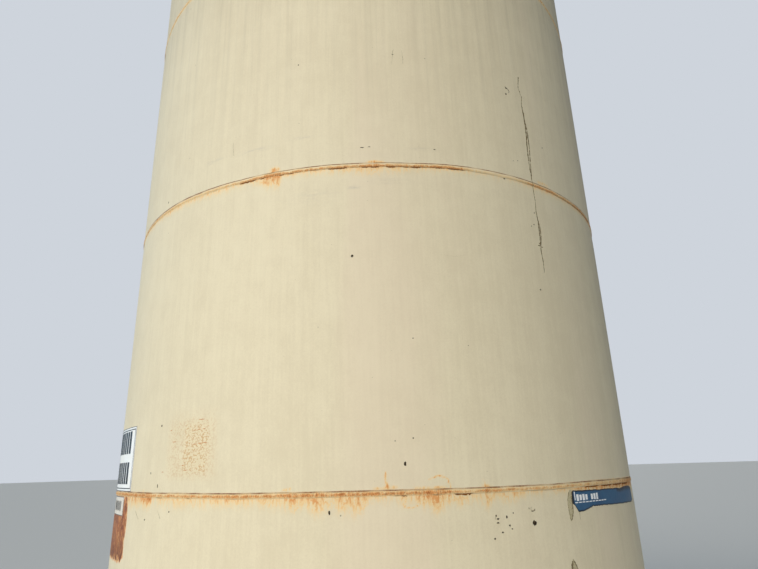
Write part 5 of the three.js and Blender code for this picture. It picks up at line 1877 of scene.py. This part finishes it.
def make_lifting_lug(side):
    azimuth, height, half = LIFTING_LUGS[side], SHELL_TOP - LUG_BELOW_TOP, LUG_PAD["half"]
    azimuths = azimuth + degrees_along(half) * np.concatenate([[-1], np.linspace(-0.91, 0.91, 14), [1]])
    lug = Shape(level_plate(azimuths, 0.0, LUG_PAD["plate"], height, LUG_PAD["tall"], LUG_ROWS))
    reach, nose, foot = LUG_PLATE["reach"], LUG_PLATE["nose"], LUG_PLATE["half"]
    turns = np.linspace(-math.pi / 2, math.pi / 2, 24)
    lower = [(-0.004, -foot), (0, -foot), (0.6 * reach, -nose)]
    round_end = [(reach + nose * math.cos(t), nose * math.sin(t)) for t in turns]
    outline = lower + round_end + [(x, -y) for x, y in reversed(lower)]
    base = SHELL_RADIUS + LUG_PAD["plate"]
    plate = plate_with_hole(outline, reach, LUG_PLATE["eye"], LUG_PLATE["thick"] / 2, 96)
    lug.add(plate, upright(azimuth, base, height))
    for hand in (-1, 1):
        line = [(hand * 0.012, -base - 0.001, height + z) for z in np.linspace(-foot, foot, 20)]
        lug.add(tube(line, 0.006, 10), facing(azimuth))
    lug.lay("lug_" + side, FITTING, "cream_paint", ["lifting_lug_" + side], 35)


def make_ground_lug():
    plate = plate_with_hole(EARTH_OUTLINE, *EARTH_HOLE, EARTH_THICK / 2, 48)
    lug = Shape(plate, upright(GROUND_LUG, SHELL_RADIUS, EARTH_HEIGHT))
    lug.lay("earthing_lug", STEEL, "steel", ["ground_lug"], 35)


# Ladder
LADDER_CLEAR = 0.203
RAIL_PLATE = 0.010
RAIL_DEPTH = 0.064
RUNG_DISTANCE = SHELL_RADIUS + 0.190
RUNG_RADIUS = 0.011
RUNG_PITCH = 0.3048
SECTION_RUNGS = [7, 7, 6]
FIRST_RUNG = 0.311
ARM_PLATE = 0.008
ARM_HALF = 0.025
# How far a bracket's plate reaches past its arms, and where the arms end at the rail and in the plate
BRACKET_REACH = 0.022
ARM_ENDS = (0.004, 0.009)
BRACKET_HEIGHTS = [0.620, 2.292, 4.426, 5.740]
BRACKET_BOLT = 0.012
BOLT_DEPTHS = (-0.014, 0.014)
RAIL_FACE = LADDER_CLEAR + RAIL_PLATE + SEAT
# The weld of a rung: how far out from the rung, and how far along it from the rail
RUNG_WELD = [(-0.001, 0), (-0.001, -0.006), (0.002, -0.003), (0.006, 0)]
GRAB_RADIUS = 0.021
# The middle of the grab rails' bends is a little low, so that their tops stay inside the box
GRAB_RISE = 1.0655
GRAB_INNER = SHELL_RADIUS - 0.420
GRAB_OVERLAP = 0.460
FOOT_HALF = 0.050
FOOT_PLATE = 0.010
# Clamps of the grab rails: how far below the ladder's top, and half their depth and height
CLAMPS_BELOW = (0.40, 0.08)
CLAMP_HALF = (0.026, 0.015)
HANDS = {-1: "right", 1: "left"}


def besides(hand, near, thickness):
    return (near, near + thickness) if hand > 0 else (-near - thickness, -near)


def around(middle, half):
    return (middle - half, middle + half)


def make_ladder_section(number, first, rungs):
    place = facing(LADDER)
    low = first - RUNG_PITCH / 2
    section, across = Shape(), Matrix.Rotation(math.pi / 2, 4, "Y")
    for hand in HANDS:
        side, depth = besides(hand, LADDER_CLEAR, RAIL_PLATE), around(-RUNG_DISTANCE, RAIL_DEPTH / 2)
        section.add(block(side, depth, (low, low + rungs * RUNG_PITCH - SEAT), 0.002), place)
    half = LADDER_CLEAR + 0.003
    for n in range(rungs):
        at = place @ Matrix.Translation((0, -RUNG_DISTANCE, first + n * RUNG_PITCH)) @ across
        section.add(turned(disc(RUNG_RADIUS, -half, half), 24, soft=0.0), at)
        for hand in HANDS:
            weld = [(RUNG_RADIUS + out, hand * (LADDER_CLEAR + along)) for out, along in RUNG_WELD]
            points, faces, _ = turned(weld, 24, soft=0.0)
            section.add((points, faces, 0.9), at)
    nodes = ["ladder_section_" + str(number)]
    section.make("ladder_" + str(number), LADDER_PAINT, "cream_paint", nodes, sharp=40)


def make_ladder_bracket(number, height):
    half = degrees_along(RAIL_FACE + ARM_PLATE + BRACKET_REACH)
    azimuths = LADDER + np.linspace(-half, half, 28)
    bracket = Shape(level_plate(azimuths, SEAT, ARM_PLATE, height, 2 * ARM_HALF, [0, 0.06, 0.94, 1]))
    depth = (-RUNG_DISTANCE - RAIL_DEPTH / 2 + ARM_ENDS[0], -SHELL_RADIUS + ARM_ENDS[1])
    for hand in HANDS:
        arm = block(besides(hand, RAIL_FACE, ARM_PLATE), depth, around(height, ARM_HALF))
        bracket.add(arm, facing(LADDER))
    nodes = ["ladder_bracket_" + str(number)]
    bracket.make("bracket_" + str(number), LADDER_PAINT, "cream_paint", nodes, sharp=40)


def make_ladder_bolts():
    """Two bolts through each rail at each bracket, as one piece."""
    bolts = Shape()
    for height in BRACKET_HEIGHTS:
        for hand in HANDS:
            for depth in BOLT_DEPTHS:
                at = Matrix.Translation((hand * (RAIL_FACE + ARM_PLATE), -RUNG_DISTANCE + depth, height))
                place = facing(LADDER) @ at @ Matrix.Rotation(hand * math.pi / 2, 4, "Y")
                fastener(bolts, place, BRACKET_BOLT, RAIL_PLATE + ARM_PLATE + SEAT)
    bolts.make("ladder_bolts", BOLT_STEEL, "steel", sharp=25)


def foot_pad(x, top):
    """The plate under a grab rail's foot, with a level top and an underside along the roof."""
    square = ((-1, -1), (1, -1), (1, 1), (-1, 1))
    flat = [(x + dx * FOOT_HALF, -GRAB_INNER + dy * FOOT_HALF) for dx, dy in square]
    corners = [(px, py, top) for px, py in flat]
    corners += [(px, py, roof_top(math.hypot(px, py)) + SEAT) for px, py in flat]
    faces = [(0, 1, 2, 3), (7, 6, 5, 4), (0, 4, 5, 1), (1, 5, 6, 2), (2, 6, 7, 3), (3, 7, 4, 0)]
    return corners, faces, 0.5


def make_grab_rail(hand, ladder_top):
    side, x = HANDS[hand], hand * (RAIL_FACE + GRAB_RADIUS)
    foot = roof_top(GRAB_INNER - FOOT_HALF) + FOOT_PLATE
    bend, middle = (RUNG_DISTANCE - GRAB_INNER) / 2, (RUNG_DISTANCE + GRAB_INNER) / 2
    spring = SHELL_TOP + GRAB_RISE - bend
    path = [(x, -RUNG_DISTANCE, z) for z in np.linspace(ladder_top - GRAB_OVERLAP, spring, 12)[:-1]]
    for angle in np.linspace(0, math.pi, 33):
        path.append((x, -middle - bend * math.cos(angle), spring + bend * math.sin(angle)))
    path += [(x, -GRAB_INNER, z) for z in np.linspace(spring, foot - 0.005, 6)[1:]]
    rail = Shape(tube(path, GRAB_RADIUS, 28), facing(LADDER))
    rail.add(foot_pad(x, foot), facing(LADDER))
    rail.make("grab_" + side, LADDER_PAINT, "cream_paint", ["grab_rail_" + side])
    clamps = Shape()
    for below in CLAMPS_BELOW:
        across = besides(hand, RAIL_FACE, 2 * GRAB_RADIUS + 0.003)
        depth = around(-RUNG_DISTANCE, CLAMP_HALF[0])
        clamps.add(block(across, depth, around(ladder_top - below, CLAMP_HALF[1]), 0.004), facing(LADDER))
    clamps.make("grab_clamps_" + side, LADDER_PAINT, "cream_paint")


def make_ladder():
    first = FIRST_RUNG
    for number, rungs in enumerate(SECTION_RUNGS, start=1):
        make_ladder_section(number, first, rungs)
        first += rungs * RUNG_PITCH
    for number, height in enumerate(BRACKET_HEIGHTS, start=1):
        make_ladder_bracket(number, height)
    make_ladder_bolts()
    for hand in HANDS:
        make_grab_rail(hand, first - RUNG_PITCH / 2)


FLOOR_RADIUS = 350.0
FLOOR_LEVEL = -0.0005


def make_floor():
    mesh = bpy.data.meshes.new("floor")
    mesh.from_pydata(polar(FLOOR_RADIUS, np.arange(0, 360, 3.75), FLOOR_LEVEL).tolist(), [], [range(96)])
    mesh.materials.append(floor_finish())
    placed("floor", mesh)


make_camera()
make_world()
for light, settings in SUNS.items():
    make_sun(light, *settings)
make_floor()

for course in range(1, COURSE_COUNT + 1):
    make_course(course)
    make_vertical_bead(course)
for girth in range(1, COURSE_COUNT):
    make_girth_bead(girth)
make_base()

grey_ink_and_shade = print_finish("label_ink_and_shade", srgb(62, 64, 66), srgb(120, 122, 120))
make_sign(
    notice_finish("notice_white", srgb(252, 252, 248), srgb(232, 230, 220)),
    print_finish("sign_ink", srgb(22, 23, 26), srgb(60, 60, 62)), grey_ink_and_shade,
)
make_label(notice_finish("label_white", srgb(234, 226, 212), srgb(206, 196, 176)), grey_ink_and_shade)
make_sticker(sticker_finish(), print_finish("sticker_ink", srgb(242, 244, 245), srgb(186, 196, 206)))

make_crack(mark_finish("crack_dark", srgb(84, 70, 42), srgb(122, 104, 66)))
make_crust_and_shade(mark_finish("crust_and_shade_brown", srgb(98, 58, 26), srgb(158, 104, 52)))
make_rust_lines(mark_finish("rust_line", srgb(176, 112, 68), srgb(210, 150, 98)))
make_chips(
    mark_finish("chip_dark", srgb(38, 31, 22), srgb(76, 62, 44)),
    mark_finish("scrape_grey", srgb(150, 140, 112), srgb(176, 166, 136)),
)
make_peeled(
    mark_finish("primer_tan", srgb(172, 161, 128), srgb(200, 189, 156)),
    mark_finish("peeled_edge", srgb(100, 88, 62), srgb(146, 132, 100)),
)

make_top_angle()
make_roof_sheet()
make_roof_beads()
make_vent()
make_roof_manhole()
make_emergency_vent()
make_gauge_hatch()
make_shell_manway()
make_outlet()
make_drain()
make_ground_lug()
for lug_side in LIFTING_LUGS:
    make_lifting_lug(lug_side)
make_ladder()
